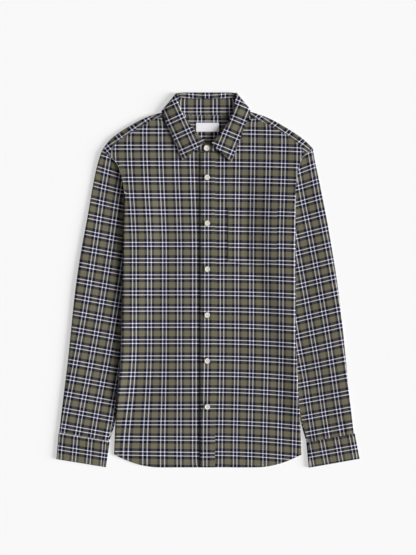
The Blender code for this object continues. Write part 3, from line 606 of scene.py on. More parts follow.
def oxford_cloth():
    """Plaid woven in a plain check from dyed yarns, with thick and thin places in them."""
    material = new_material("plaid oxford cloth", {
        "Roughness": 0.9,
        "Specular IOR Level": 0.12,
        "Sheen Weight": 0.03,
        "Sheen Roughness": 0.5,
    })
    tree = material.node_tree
    uv = on_cloth(tree)
    apart = tree.nodes.new("ShaderNodeSeparateXYZ")
    tree.links.new(uv, apart.inputs[0])
    across, along = apart.outputs[0], apart.outputs[1]
    warp = yarn_stripes(tree, across, WARP, WARP_REPEAT)
    weft = yarn_stripes(tree, along, WEFT, WEFT_REPEAT)

    weave = math_node(tree, "MULTIPLY", ribs(tree, across), ribs(tree, along))
    over = math_node(tree, "MULTIPLY_ADD", weave, CROSSING, WARP_SHARE)
    over = math_node(tree, "MINIMUM", math_node(tree, "MAXIMUM", over, 0.0), 1.0)
    yarns = mixed(tree, over, weft, warp)
    # Painted shade: the yarns' colours are mixed so that a pale one over a dark one looks darker
    # than their mean, as the yarns shade each other
    shaded = mixed(
        tree, WARP_SHARE, power(tree, weft, YARN_SHADE), power(tree, warp, YARN_SHADE)
    )
    colour = mixed(tree, WEAVE_SHOWS, power(tree, shaded, 1 / YARN_SHADE), yarns)

    slub = math_node(
        tree,
        "ADD",
        noise_node(tree, stretched(tree, uv, SLUB_FINE, SLUB_LONG), 1.0),
        noise_node(tree, stretched(tree, uv, SLUB_LONG, SLUB_FINE), 1.0),
    )
    faded = noise_node(tree, uv, FADED_SCALE)
    faded = math_node(tree, "MULTIPLY_ADD", faded, FADED_TONE, 1 - FADED_TONE / 2)
    tone = math_node(tree, "MULTIPLY_ADD", slub, SLUB_TONE, 1 - SLUB_TONE)
    toned = tree.nodes.new("ShaderNodeVectorMath")
    toned.operation = "SCALE"
    tree.links.new(colour, toned.inputs[0])
    tree.links.new(math_node(tree, "MULTIPLY", tone, faded), toned.inputs["Scale"])
    tree.links.new(toned.outputs[0], tree.nodes["Principled BSDF"].inputs["Base Color"])

    relief = math_node(tree, "ABSOLUTE", weave)
    relief = math_node(tree, "MULTIPLY_ADD", slub, SLUB_RELIEF, relief)
    raised(tree, relief, 0.35, 0.00012)
    return material


oxford = oxford_cloth()


def sewn_in(piece, *nodes, flat, rests_on=()):
    """Attaches a cloth piece to the root and hides the parts it stands for. The size of its flat
    cut is not used.
    """
    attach(piece, "root")
    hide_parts(*nodes)


# How the plaid lies on each front, as laid: where the first pair of white warp lines from
# the placket runs, how far that pair wanders outwards near the yoke and near the hem, how
# much wider than its cut the cloth lies below and at the yoke, and how far the outermost
# lines are drawn outwards at the hem
FrontPlaid = namedtuple("FrontPlaid", "first out_at_yoke out_at_hem lies at_yoke hem_draw")
FRONT_PLAID = {
    "right": FrontPlaid(28.5, 5.5, 0.0, 0.988, 1.035, 15.0),
    "left": FrontPlaid(30.4, 1.0, -3.5, 0.975, 1.01, 0.0),
}
NEAR_YOKE, YOKE_OVER = 60, 240
NEAR_HEM, HEM_OVER, DRAW_REACH = -130, 250, 130
# The right front's weft: the height of a pair of white lines, how much lower the lines run
# further down, and how much higher at the hem, in the middle and at the side
RIGHT_PAIR, RIGHT_LOWER, RIGHT_LOWER_FROM = 7.8, 1.1, -150
RIGHT_HEM, RIGHT_HEM_SIDE, RIGHT_HEM_FROM, RIGHT_OVER = 1.8, 3.0, -300, 80
PLAID_HALF = 170  # half the width of what shows of the body's plaid


def across_cloth(side, x, y):
    """How far across a front's cloth a point is, from its first pair of white lines."""
    plaid = FRONT_PLAID[side]
    near_yoke = float(eased((y - NEAR_YOKE) / YOKE_OVER))
    near_hem = float(eased((NEAR_HEM - y) / HEM_OVER))
    first = plaid.first + plaid.out_at_yoke * near_yoke + plaid.out_at_hem * near_hem
    out = SIDES[side] * x - first
    reach = out / (plaid.lies + (plaid.at_yoke - plaid.lies) * near_yoke)
    drawn = plaid.hem_draw * near_hem * (max(0.0, out) / DRAW_REACH) ** 2
    return SIDES[side] * (reach - drawn)


def right_front_place(x, y):
    lower = RIGHT_LOWER * float(eased((RIGHT_LOWER_FROM - y) / RIGHT_OVER))
    near_hem = float(eased((RIGHT_HEM_FROM - y) / RIGHT_OVER))
    higher = (RIGHT_HEM + RIGHT_HEM_SIDE * abs(x) / PLAID_HALF) * near_hem
    return across_cloth("right", x, y), y - RIGHT_PAIR + lower - higher


def even_steps(start, end, cells):
    return [start + (end - start) * i / cells for i in range(cells + 1)]


outwards = even_steps(DIP_START, ARMHOLE["right"][-1][0], FRONT_CELLS["right"])
columns = [UNDERLAP, DIP_START + DIP_OVER, *outwards]
rows, skip = front_panel("right", columns, right_front_height, right_front_place)
front_right = cloth_piece("front_right_cloth", rows, skip=skip, relief=creases)
sewn_in(front_right, "front_right", flat=(0.275, 0.755), rests_on=["back", "sleeve_right"])

# ---------------------------------------------------------------- front, wearer's left
# The over front: cut as the right one, with the button placket and the pocket sewn on.
# Its free edge lies over the right front.

PLACKET_FREE, PLACKET_SEAM = -16.3, 15.5
EDGE_COVERED = 1.7  # the placket's free edge stands this far past the front's
# The left front's weft: how close its lines lie, the height of a pair of white lines, how
# far the lines bow down at the side, more so lower down, and how much higher at the hem
LEFT_CLOSE, LEFT_PAIR, LEFT_LOWER = 1.002, 6.5, 0.3
LEFT_BOW, BOW_TOP, BOW_GROWS = 4.2, 90.0, 80
LEFT_HEM, LEFT_HEM_FROM, LEFT_HEM_OVER = 3.8, -300, 90


def left_front_place(x, y):
    higher = LEFT_HEM * float(eased((LEFT_HEM_FROM - y) / LEFT_HEM_OVER))
    bowed = (x / PLAID_HALF) ** 2 * (LEFT_BOW - min(y, BOW_TOP) / BOW_GROWS)
    along = LEFT_CLOSE * (y - LEFT_PAIR) + bowed - LEFT_LOWER - higher
    return across_cloth("left", x, y), along


outwards = even_steps(UNDERLAP, ARMHOLE["left"][-1][0], FRONT_CELLS["left"])
columns = [PLACKET_FREE + EDGE_COVERED, *outwards]
rows, skip = front_panel("left", columns, front_height, left_front_place)
front_left = cloth_piece("front_left_cloth", rows, skip=skip, relief=creases)
sewn_in(front_left, "front_left", flat=(0.275, 0.755), rests_on=["front_right", "sleeve_left"])

# ---------------------------------------------------------------- placket
# A folded band down the left front's edge, stitched along both sides, which carries the
# buttonholes.

PLACKET_ROWS = 48
PLACKET_WALL, PLACKET_GAP = 0.8, 0.4
PLACKET_TOP_CLEAR, HEM_STEP = 1.2, 0.3  # from the neck, and from the front's hem
# The plaid's first pair of white lines and its first cross pair, and how far the lines
# wander to the right front's side lower down
PLACKET_PAIR_X, PLACKET_PAIR_Y = -2.4, 7.3
WANDER, WANDER_FROM, WANDER_OVER = 3.4, -100, 250
# The band's columns, and how far each one is turned down over the front's edge
Column = namedtuple("Column", "x down")
PLACKET_COLUMNS = [Column(-17.2, 1.8), Column(-16.4, 0.9), Column(-15.2, 0.0),
                   *(Column(x, 0.0) for x in even_steps(-10.5, PLACKET_SEAM, 3))]


def on_front(x, y):
    """A point of a piece that is sewn onto the front, on its outer face."""
    return (x, y, front_height(x, y) + PLACKET_GAP + PLACKET_WALL)


placket_top = NECK_FRONT - PLACKET_TOP_CLEAR
placket_length = HEM + HEM_STEP - NECK_FRONT + PLACKET_TOP_CLEAR
rows = []
for r in range(PLACKET_ROWS + 1):
    row = []
    for column in PLACKET_COLUMNS:
        x, y, z = on_front(column.x, placket_top + placket_length * r / PLACKET_ROWS)
        wanders = WANDER * float(eased((WANDER_FROM - y) / WANDER_OVER))
        u = x - PLACKET_PAIR_X + wanders - column.down
        row.append((x, y, z - column.down, u, y - PLACKET_PAIR_Y))
    rows.append(row)
placket = cloth_piece("placket_band", rows, PLACKET_WALL, probe=(0, 4), relief=creases)
sewn_in(placket, "placket", flat=(0.036, 0.673), rests_on=["front_left"])

# ---------------------------------------------------------------- chest pocket
# A patch cut so that its plaid runs on from the front's, with straight sides and a
# pointed lower edge, stitched on along its edge and down a crease in its middle.

POCKET_LEFT, POCKET_RIGHT, POCKET_MIDDLE = 43.2, 148.0, 94.2
POCKET_TOP, POCKET_SIDE_END, POCKET_POINT = 153.9, 41.5, 27.6
POCKET_SHIFT = 1.0  # its plaid is this much lower than the front's
POCKET_ROWS, POCKET_COLUMNS = 8, 8


def pocket_foot(x):
    """Height of the pocket's lower edge."""
    half = (POCKET_RIGHT - POCKET_LEFT) / 2
    away = abs(x - (POCKET_LEFT + half)) / half
    return POCKET_POINT + (POCKET_SIDE_END - POCKET_POINT) * away


rows = []
for r in range(POCKET_ROWS + 1):
    row = []
    for x in even_steps(POCKET_LEFT, POCKET_RIGHT, POCKET_COLUMNS):
        y = POCKET_TOP + (pocket_foot(x) - POCKET_TOP) * r / POCKET_ROWS
        u, v = left_front_place(x, y)
        row.append((*on_front(x, y), u, v + POCKET_SHIFT))
    rows.append(row)
pocket = cloth_piece("pocket_patch", rows, PLACKET_WALL, relief=creases)
sewn_in(pocket, "pocket", flat=(0.105, 0.127), rests_on=["front_left"])

# ---------------------------------------------------------------- back panel
# One piece from the back yoke seam to the hem. It lies on the floor under everything, and
# its side edges meet the fronts' turned-under edges.

YOKE_BACK_CORNER, BACK_CELLS = 4, 10  # the armhole row that the back yoke seam ends on
ARMPIT_CLOSES = 45.0  # the back comes down to the floor over this much below the armpit
BACK_HEM_SQUARE = 2.2  # how squarely the back hem turns up at its ends
BACK_PAIR_Y = 6.5


def armhole(side):
    return ARMHOLE[side] + hidden_armhole(side)


seams = {side: beside(armhole(side), side, SEAM)[YOKE_BACK_CORNER:] for side in SIDES}
ends = [[seams["right"][r], seams["left"][r]] for r in range(len(seams["right"]))]
ends[0] = [point - np.array((0, 1.5 * SEAM)) for point in ends[0]]
shares = [0.0] * len(ends)
for down in np.linspace(0, 1, LOWER_ROWS + 1)[1:]:
    row = []
    for side, sign in SIDES.items():
        y = lower_height(down)(abs(side_fold[side](HEM)))
        y = lower_height(down)(abs(side_fold[side](y)) + TURNED_IN)
        row.append(np.array((side_fold[side](y) - sign * (TURNED_IN + SEAM), y)))
    ends.append(row)
    shares.append(down)
rows = []
for (start, end), down in zip(ends, shares):
    row = []
    for c in range(BACK_CELLS + 1):
        x, y = start + (end - start) * c / BACK_CELLS
        side = "right" if c < BACK_CELLS / 2 else "left"
        rise = hem_rise(abs(side_fold[side](HEM)) + TURNED_IN)
        y -= down * rise * (1 - abs(2 * c / BACK_CELLS - 1) ** BACK_HEM_SQUARE)
        z = underside(side, x, y) * float(eased((ARMPIT - y) / ARMPIT_CLOSES))
        row.append((x, y, z, x, y - BACK_PAIR_Y))
    rows.append(row)
back = cloth_piece("back_cloth", rows, up=(0, 0, -1))
sewn_in(back, "back", flat=(0.386, 0.645))

# ---------------------------------------------------------------- yoke
# A saddle of one piece over both shoulders: a narrow strip of it shows in front of each
# shoulder, and its back part shows inside the neck.

NECK_BACK = [(-80, 355.2), (-42, 353.8), (-3, 353.3), (38, 353.8), (74, 355.6)]

# The yoke rises over the collar's fall between these heights and inside of these places
FALL_RISE, FALL_LOW, FALL_OVER = 2.0, 325, 18
FALL_WIDE, FALL_NARROWS = 118, 14

# The plaid inside the neck, and on the strip in front of each shoulder: the way across
# each set of lines, and where a pair of them lies that way
YOKE_PAIR_X, YOKE_PAIR_Y = 17.2, 337.0
StripPlaid = namedtuple("StripPlaid", "cross_way cross_pair long_way long_pair")
STRIP_PLAID = {
    "right": StripPlaid((-0.559, 0.829), 353.2, (0.777, 0.629), 115.0),
    "left": StripPlaid((0.559, 0.829), 351.0, (0.719, -0.695), -130.5),
}


def yoke_underside(x, y):
    """Height of the yoke's underside, off the floor where the collar's fall is under it."""
    over_fall = float(eased((y - FALL_LOW) / FALL_OVER))
    over_fall *= float(eased((FALL_WIDE - abs(x)) / FALL_NARROWS))
    return FALL_RISE * over_fall


def along_line(points, share):
    """The point at a share of the way along a line of points."""
    line = np.array(points, float)
    reach = reach_along(line)
    return np.array([np.interp(share * reach[-1], reach, line[:, k]) for k in (0, 1)])


def unit(way):
    return way / np.linalg.norm(way)


seams = {side: beside(armhole(side), side, SEAM) for side in SIDES}
feet = [seams[side][YOKE_BACK_CORNER] for side in SIDES]
shoulder_cells = len(YOKE_FRONT["right"]) - 1
neck_cells = len(NECK_BACK) + 1
width = 2 * shoulder_cells + neck_cells + 1
upper_rows = 1 + ARC_CELLS
columns = []
for c in range(width):
    side = "right" if c < width / 2 else "left"
    steps_in = min(c, width - 1 - c)
    foot = feet[0] + (feet[1] - feet[0]) * c / (width - 1)
    if steps_in <= shoulder_cells:
        seam = np.array(YOKE_FRONT[side][shoulder_cells - steps_in])
        fold = along_line(SHOULDER[side], 1 - steps_in / shoulder_cells)
        if steps_in == 0:
            fold, seam = beside(armhole(side), side, 2 * SEAM)[0], seams[side][YOKE_CORNER]
        inwards = unit(seam - fold)
        column = [(*seam, front_height(*seam))]
        radius = (SHOULDER_FOLD - yoke_underside(*fold)) / 2
        for r in range(ARC_CELLS + 1):
            turn = math.pi * r / ARC_CELLS
            point = fold + inwards * radius * (1 - math.sin(turn))
            column.append((*point, SHOULDER_FOLD - radius * (1 - math.cos(turn))))
        start = fold + inwards * radius
    else:
        start = np.array(NECK_BACK[c - shoulder_cells - 1]) - (0, SEAM + NECK_CLEAR)
        column = [(*start, yoke_underside(*start))] * (upper_rows + 1)
    for r in range(1, YOKE_BACK_CORNER + 1):
        point = start + (foot - start) * r / YOKE_BACK_CORNER
        if steps_in == 0:
            point = seams[side][r]
        column.append((*point, yoke_underside(*point)))
    placed = []
    for r, (x, y, z) in enumerate(column):
        u, v = y - YOKE_PAIR_Y, x - YOKE_PAIR_X
        if r < upper_rows and steps_in <= shoulder_cells:
            plaid = STRIP_PLAID[side]
            u = np.dot((x, y), plaid.cross_way) - plaid.cross_pair
            v = np.dot((x, y), plaid.long_way) - plaid.long_pair
        placed.append((x, y, z, u, v))
    columns.append(placed)
rows = [[column[r] for column in columns] for r in range(len(columns[0]))]
neck = range(shoulder_cells, shoulder_cells + neck_cells)
yoke = cloth_piece("yoke_cloth", rows, skip={(r, c) for r in range(upper_rows) for c in neck})
sewn_in(yoke, "yoke", flat=(0.455, 0.135), rests_on=["collar"])

# ---------------------------------------------------------------- sleeves
# One panel each, sewn into a tube and laid flat with its seam towards the body, which
# lies on it. The sleeve head is eased into the armhole.

SLEEVE_MIDDLE, SLEEVE_FOLD, CUFF_FOLD = 6.4, 5.6, 5.0  # how thick it lies
SLEEVE_CROWN = 0.7  # how roundly the sleeve fills between its folds
NARROWS_TO, NARROWS_OVER = -325, 70  # it gets as thin as the cuff here
TUCK_CLEAR, TUCK_OVER = 3, 105  # it swells from under the body from here, over this
ABOVE_CLEAR, ABOVE_OVER = 50, 40  # it is free above the side fold's start
PART_CLEAR, PART_SWELL, PARTED = 8, 40, 0.4  # it is partly free where it comes clear
WRIST_FROM, WRIST_OVER = -295, 45  # it is free by the cuff
SLEEVE_DROP, DROP_GROWS = 6.6, 1.2  # its seam below the front's where the side fold starts
LEAVES_SEAM, HOLD_OVER = 14, 20  # it leaves the armhole's height in a 14th of its length
SLEEVE_ROWS, ROW_CROWDING = 17, 1.1  # the rows are closer near the armhole
SLEEVE_OUTER = {
    "right": [(-227, 277), (-231, 268), (-239.2, 236.3), (-247.8, 193.5), (-258.5, 129.3),
              (-267.1, 86.5), (-281, 0.9), (-290.6, -84.7), (-299.2, -170.3),
              (-309.9, -255.9), (-318, -325.5)],
    "left": [(225, 282), (226.5, 268), (233.7, 236.3), (242.2, 193.5), (255.1, 129.3),
             (262.5, 86.5), (276.5, 0.9), (287.2, -84.7), (295.7, -170.3),
             (304.3, -255.9), (312.5, -327.2)],
}
# Slow waves, and the gathers above the cuff seam. Above SHOWS_ABOVE all of it shows.
SLEEVE_WAVE, GATHER, GATHER_FROM, GATHER_OVER = 0.35, 0.5, -285, 45
SHOWS_ABOVE, SHOWS_PAST, SHOWS_OVER = 190, 12, 20
# The plaid on each sleeve: where a pair of white lines crosses another, the tilt of the
# warp from the shirt's length and of the weft from its width, in degrees, how far the warp
# bows outwards halfway down, and near the cuff, how many degrees flatter the weft lies and
# how far the warp's inner lines are drawn outwards
SleevePlaid = namedtuple("SleevePlaid", "x y warp weft bow flatter drawn")
SLEEVE_PLAID = {
    "right": SleevePlaid(-227.9, 166.1, 9.55, 10.7, -4.0, 0.0, 0.0),
    "left": SleevePlaid(235.0, 176.5, 9.6, 14.0, 4.5, 3.1, 5.0),
}
PLAID_REACH = 440.0  # from that crossing to the cuff
HEAD_TILT, HEAD_REACH = 0.14, 60  # the weft is tilted less at the sleeve's head
NEAR_CUFF, NEAR_CUFF_OVER = -110, 120
DRAWN_FROM, DRAWN_OVER, FLATTER_FROM = 20, 50, 15
SLEEVE_CUT = {"right": (0.28, 0.625), "left": (0.26, 0.63)}  # all round at the armpit, length


def smooth_curve(points):
    """A function of 0..1 that runs smoothly through the points."""
    knots = np.array(points, float)
    along = reach_along(knots)
    slopes = np.gradient(knots, along, axis=0)

    def at(share):
        place = np.clip(share, 0, 1) * along[-1]
        i = min(int(np.searchsorted(along, place, side="right")) - 1, len(along) - 2)
        span = along[i + 1] - along[i]
        t = (place - along[i]) / span
        return (
            (2 * t**3 - 3 * t**2 + 1) * knots[i]
            + (t**3 - 2 * t**2 + t) * span * slopes[i]
            + (3 * t**2 - 2 * t**3) * knots[i + 1]
            + (t**3 - t**2) * span * slopes[i + 1]
        )

    return at


def sleeve_height(side, x, y, across, width):
    """Height of the sleeve's upper face, at a distance across it from its outer fold."""
    share = min(1.0, max(0.0, across / width))
    narrowed = float(eased((y - NARROWS_TO) / NARROWS_OVER))
    fold = CUFF_FOLD + (SLEEVE_FOLD - CUFF_FOLD) * narrowed
    free = fold + (SLEEVE_MIDDLE - SLEEVE_FOLD) * math.sin(math.pi * share) ** SLEEVE_CROWN
    outside = -in_from_fold(side, x, y)
    tucked = TUCKED + (free - TUCKED) * float(eased((outside - TUCK_CLEAR) / TUCK_OVER))
    above = float(eased((y - ARMHOLE[side][-1][1] - ABOVE_CLEAR) / ABOVE_OVER))
    below = PARTED * float(eased((PARTING[side] - PART_CLEAR - y) / PART_SWELL))
    near_cuff = float(eased((WRIST_FROM - y) / WRIST_OVER))
    return tucked + (free - tucked) * max(above, below, near_cuff)


def half_turn(point, way, radius, sense):
    """The points of a fold between its tangents, from the top down where sense is 1."""
    found = []
    for step in range(1, ARC_CELLS):
        turn = math.pi * step / ARC_CELLS
        place = point + way * radius * (1 - math.sin(turn))
        found.append((*place, radius * (1 + sense * math.cos(turn))))
    return found


def sleeve_place(side):
    """A function that gives a point's place in a sleeve's flat cloth."""
    plaid = SLEEVE_PLAID[side]
    sign = SIDES[side]
    warp, weft = math.radians(plaid.warp), math.radians(plaid.weft)

    def place(x, y):
        dx, dy = sign * (x - plaid.x), y - plaid.y
        near_top = HEAD_TILT * math.exp(-max(0.0, plaid.y + HEAD_REACH - y) / HEAD_REACH)
        down = float(np.clip(-dy / PLAID_REACH, 0, 1))
        bowed = 4 * plaid.bow * down * (1 - down)
        near_cuff = float(eased((NEAR_CUFF - y) / NEAR_CUFF_OVER))
        drawn = plaid.drawn * near_cuff * float(np.clip((DRAWN_FROM - dx) / DRAWN_OVER, 0, 1))
        flatter = math.radians(plaid.flatter) * near_cuff * (dx + FLATTER_FROM)
        u = sign * (dx * math.cos(warp) + dy * math.sin(warp) - bowed - drawn)
        v = -dx * math.sin(weft) + dy * math.cos(weft) - near_top * dx + flatter
        return u, v

    return place


def sleeve_creases(side):
    """A function that gives a sleeve's unevenness, where the body doesn't press on it."""

    def relief(x, y):
        wave = SLEEVE_WAVE * math.sin(x / 17 + y / 60) * math.sin(y / 47 + 1.3)
        gathers = GATHER * math.sin(x / 3.6) * float(eased((GATHER_FROM - y) / GATHER_OVER))
        outside = float(eased((-in_from_fold(side, x, y) - SHOWS_PAST) / SHOWS_OVER))
        if y < PARTING[side] or y > SHOWS_ABOVE:
            outside = 1.0
        return (wave + gathers) * outside

    return relief


for side in SIDES:
    seam = np.array(armhole(side))
    seen = len(ARMHOLE[side])
    shares = np.linspace(0, 1, len(seam))
    fold_start = ARMHOLE[side][-1][1]
    outer = smooth_curve(SLEEVE_OUTER[side])
    inner = smooth_curve([seam[-1], *SLEEVE_INNER[side][1:]])
    wrist = np.array((SLEEVE_OUTER[side][-1], SLEEVE_INNER[side][-1]), float)
    place = sleeve_place(side)
    rows = []
    for r in range(SLEEVE_ROWS + 1):
        down = (r / SLEEVE_ROWS) ** ROW_CROWDING
        line = []
        for c, across in enumerate(shares):
            ends = (1 - down) * seam[c] + down * (wrist[0] + (wrist[1] - wrist[0]) * across)
            folds = (1 - across) * outer(down) + across * inner(down)
            corners = (1 - down) * ((1 - across) * seam[0] + across * seam[-1])
            corners += down * ((1 - across) * wrist[0] + across * wrist[1])
            line.append(ends + folds - corners)
        line = np.array(line)
        reach = reach_along(line)
        heights = []
        for c, (x, y) in enumerate(line):
            at_seam = TUCKED
            if c < seen:
                at_seam = front_height(*seam[c]) - SLEEVE_DROP * (c / (seen - 1)) ** DROP_GROWS
            hold = 1 - float(eased(down * LEAVES_SEAM))
            hold *= float(eased((y - fold_start + HOLD_OVER) / HOLD_OVER))
            free = sleeve_height(side, x, y, reach[c], reach[-1])
            heights.append(at_seam if r == 0 else free + (at_seam - free) * hold)
        folds = [
            (line[tip], unit(line[next_in] - line[tip]), heights[tip] / 2)
            for tip, next_in in ((0, 1), (-1, -2))
        ]
        flat = line.copy()
        for tip, (point, way, radius) in zip((0, -1), folds):
            flat[tip] = point + way * radius
        upper = [(*point, height) for point, height in zip(flat, heights)][::-1]
        lower = [(*point, 0.0) for point in flat]
        row = upper + half_turn(*folds[0], 1) + lower + half_turn(*folds[1], -1) + upper[:1]
        rows.append(with_cloth_places(row, len(upper), place))
    name = f"sleeve_{side}"
    sleeve = cloth_piece(f"{name}_cloth", rows, probe=(9, 4), relief=sleeve_creases(side))
    sewn_in(sleeve, name, flat=SLEEVE_CUT[side])

# ---------------------------------------------------------------- cuffs
# Two layers with interlining between them, stitched round their edges and closed flat.

BAND = 1.5  # wall of two layers and their interlining
CUFF_STIFF = 0.4  # a cuff lies this much thicker than the sleeve does at its seam
CUFF_HEIGHT, CUFF_REPEAT = 56.0, 31.4
SEAM_IN = 1.1  # its top reaches this much further over the sleeve's end
CUFF_ROWS, CUFF_CELLS = 6, 6
CuffShape = namedtuple("CuffShape", "top_outer top_inner bottom_outer bottom_inner")
CUFFS = {
    "right": CuffShape((-319.3, -327.0), (-209.4, -345.2), (-324.0, -381.8), (-217.4, -399.2)),
    "left": CuffShape((314.9, -328.5), (210.3, -348.0), (324.9, -381.1), (215.6, -400.4)),
}
# Where the plaid lies on each: the first pair from the outer fold, and the cross pair as a
# share of the way down
CuffPlaid = namedtuple("CuffPlaid", "first down")
CUFF_PLAID = {"right": CuffPlaid(6.6, 0.56), "left": CuffPlaid(9.0, 0.52)}

for side, shape in CUFFS.items():
    corners = {name: np.array(point) for name, point in shape._asdict().items()}
    for edge in ("outer", "inner"):
        corners[f"top_{edge}"] += SEAM_IN * unit(
            corners[f"top_{edge}"] - corners[f"bottom_{edge}"]
        )
    radius = (CUFF_FOLD + CUFF_STIFF) / 2
    plaid = CUFF_PLAID[side]
    rows = []
    for share in np.linspace(0, 1, CUFF_ROWS + 1):
        start = corners["top_outer"] * (1 - share) + corners["bottom_outer"] * share
        end = corners["top_inner"] * (1 - share) + corners["bottom_inner"] * share
        way = unit(end - start)
        flat = np.linspace(start + way * radius, end - way * radius, CUFF_CELLS + 1)
        upper = [(*point, 2 * radius) for point in flat][::-1]
        lower = [(*point, 0.0) for point in flat]
        row = upper + half_turn(start, way, radius, 1) + lower
        row += half_turn(end, -way, radius, -1) + upper[:1]
        v = (plaid.down - share) * CUFF_HEIGHT

        def place(x, y, start=start, way=way, v=v):
            u = float(np.dot(np.array((x, y)) - start, way)) - plaid.first
            return u * WARP_REPEAT / CUFF_REPEAT, v

        rows.append([(*point[:4], v) for point in with_cloth_places(row, len(upper), place)])
    name = f"cuff_{side}"
    cuff = cloth_piece(f"{name}_band", rows, wall=BAND, probe=(1, 1))
    sewn_in(cuff, name, flat=(0.225, 0.057))

# ---------------------------------------------------------------- collar stand
# The band round the neck that the collar is sewn to, interlined, with a rounded tab that
# buttons over the front. Inside the back it shows below the collar's roll.

# One row of the collar: neck = lower edge of the stand, roll = where the fall turns over,
# edge = outer edge, rise = lift off the front, inside = fall that shows inside the neck
Station = namedtuple("Station", "neck roll edge rise inside")
COLLAR_FRONT = {
    "right": [
        Station((-12, 275.6), (-5.8, 296.2), (-53.1, 256.8), 1.4, 3),
        Station((-30, 280.0), (-19.5, 311.0), (-61.5, 276.0), 1.0, 3),
        Station((-51, 292.6), (-34.5, 328.5), (-71.5, 298.5), 0.5, 3),
        Station((-69, 311.5), (-48.0, 349.0), (-81.0, 320.0), 0.2, 5),
        Station((-83, 334.0), (-60.5, 366.5), (-90.0, 340.0), 0.0, 9),
    ],
    "left": [
        Station((11, 275.3), (7.3, 293.8), (50.3, 252.9), 1.4, 3),
        Station((28, 279.3), (19.5, 306.5), (58.5, 273.5), 1.0, 3),
        Station((48, 291.5), (33.4, 321.6), (66.5, 295.5), 0.5, 3),
        Station((65, 310.2), (44.9, 342.8), (75.0, 318.5), 0.2, 5),
        Station((78, 332.5), (56.0, 363.5), (83.5, 340.5), 0.0, 9),
    ],
}
COLLAR_CORNER = {
    "right": Station((-95.2, 361.9), (-67.2, 401.7), (-99.9, 361.7), 0.0, 13.5),
    "left": Station((88.0, 363.5), (61.4, 402.5), (92.4, 364.2), 0.0, 13.5),
}
COLLAR_BACK = {
    "right": [Station((-80, 355.2), (-58, 402.2), (-84, 350.4), 0.0, 13.5),
              Station((-42, 353.8), (-31, 402.1), (-44, 349.2), 0.0, 13.5)],
    "left": [Station((74, 355.6), (52, 402.3), (78, 350.8), 0.0, 13.5),
             Station((38, 353.8), (26, 402.1), (40, 349.3), 0.0, 13.5)],
}
COLLAR_MIDDLE = Station((-3, 353.3), (-3, 402.1), (-3, 349.0), 0.0, 13.5)
RING_HEIGHT, STAND_RADIUS, FALL_RADIUS = 4.4, 2.0, 4.4  # of the flattened neck ring
CORNER_TURNS = (60, 20, -20, -60)  # where it turns from its upper layer to its lower one
OVER_FROM, OVER_OVER = 40, 24  # the stand's left end rises over the right from here
STAND_CELLS = 3
# The stand's two ends past the collar, with rounded corners
END_BOTTOM, END_HEIGHT = 274.6, 18
StandEnd = namedtuple("StandEnd", "x drop inset")
UNDER_END = StandEnd(12.0, -0.3, 3.0)
TAB = [StandEnd(-4.0, 0.0, 0.5), StandEnd(-16.0, 0.0, 4.5)]
STAND_PAIR_X, STAND_PAIR_Y = -19.0, 364.2

Rib = namedtuple("Rib", "side angle station neck roll edge up out")


def neck_ring():
    """The ribs of the neck ring from the right front edge round to the left one: for each
    station its points in the middle of the ring, the way up the collar and the way out of
    the neck. An angle of 90 looks up, and -90 down."""
    found = []
    for side, sense in (("right", 1), ("left", -1)):
        half = [(90, station) for station in COLLAR_FRONT[side]]
        half += [(angle, COLLAR_CORNER[side]) for angle in CORNER_TURNS]
        half += [(-90, station) for station in COLLAR_BACK[side]]
        if side == "right":
            half.append((-90, COLLAR_MIDDLE))
        found += [(side, *entry) for entry in half[::sense]]
    ribs_round = []
    for side, angle, station in found:
        corner = COLLAR_CORNER[side]
        fold = np.subtract(corner.roll, corner.edge)
        sideways = np.array((-fold[1], fold[0], 0)) / np.linalg.norm(fold)
        if side == "left":
            sideways = -sideways
        turn = math.radians(angle)
        neck, roll, edge = (
            np.array((*point, RING_HEIGHT)) for point in (station.neck, station.roll, station.edge)
        )
        if angle in CORNER_TURNS:
            roll, edge = roll - sideways * FALL_RADIUS, edge - sideways * FALL_RADIUS
            neck = neck - sideways * STAND_RADIUS
        out = sideways * math.cos(turn) + np.array((0, 0, math.sin(turn)))
        ribs_round.append(Rib(side, angle, station, neck, roll, edge, unit(roll - neck), out))
    return ribs_round


def stand_end(row, end):
    """An end of the stand, past the collar's front edge, rounded at its two corners."""
    points = []
    for c in range(len(row)):
        share = c / (len(row) - 1)
        across = end.inset * abs(2 * share - 1) ** 3
        y = END_BOTTOM + END_HEIGHT * share + 0.5 * end.inset * (0.5 - share)
        points.append((end.x - math.copysign(across, end.x), y, row[c][2] + end.drop))
    return points


rows = []
for rib in neck_ring():
    rim = rib.roll - rib.up * rib.station.inside
    over = BAND + SEAM if rib.side == "left" and rib.angle == 90 else 0.0
    row = []
    for c in range(STAND_CELLS + 1):
        point = rib.neck + (rim - rib.neck) * c / STAND_CELLS + rib.out * STAND_RADIUS
        point[2] += over * float(eased((OVER_FROM - point[0]) / OVER_OVER))
        row.append(tuple(point))
    rows.append(row)
rows.insert(0, stand_end(rows[0], UNDER_END))
rows += [stand_end(rows[-1], end) for end in TAB]
placed = [[(*point, point[1] - STAND_PAIR_Y, point[0] - STAND_PAIR_X) for point in row]
          for row in rows]
stand = cloth_piece("collar_stand_band", placed, wall=BAND, probe=(2, 1))
sewn_in(stand, "collar_stand", flat=(0.49, 0.038), rests_on=["front_left", "front_right"])

# ---------------------------------------------------------------- collar
# The turned-down fall, interlined and stitched a presser foot's width inside its edge,
# with a point on each side. It rolls over at the top of the stand.

FALL_CELLS, ROLL_CELLS = 5, 4
FALL_BELLY = 0.7  # how much the leaves arch off the front
FRONT_LIFT = 0.3  # share of a leaf's lift that is left at its outer edge
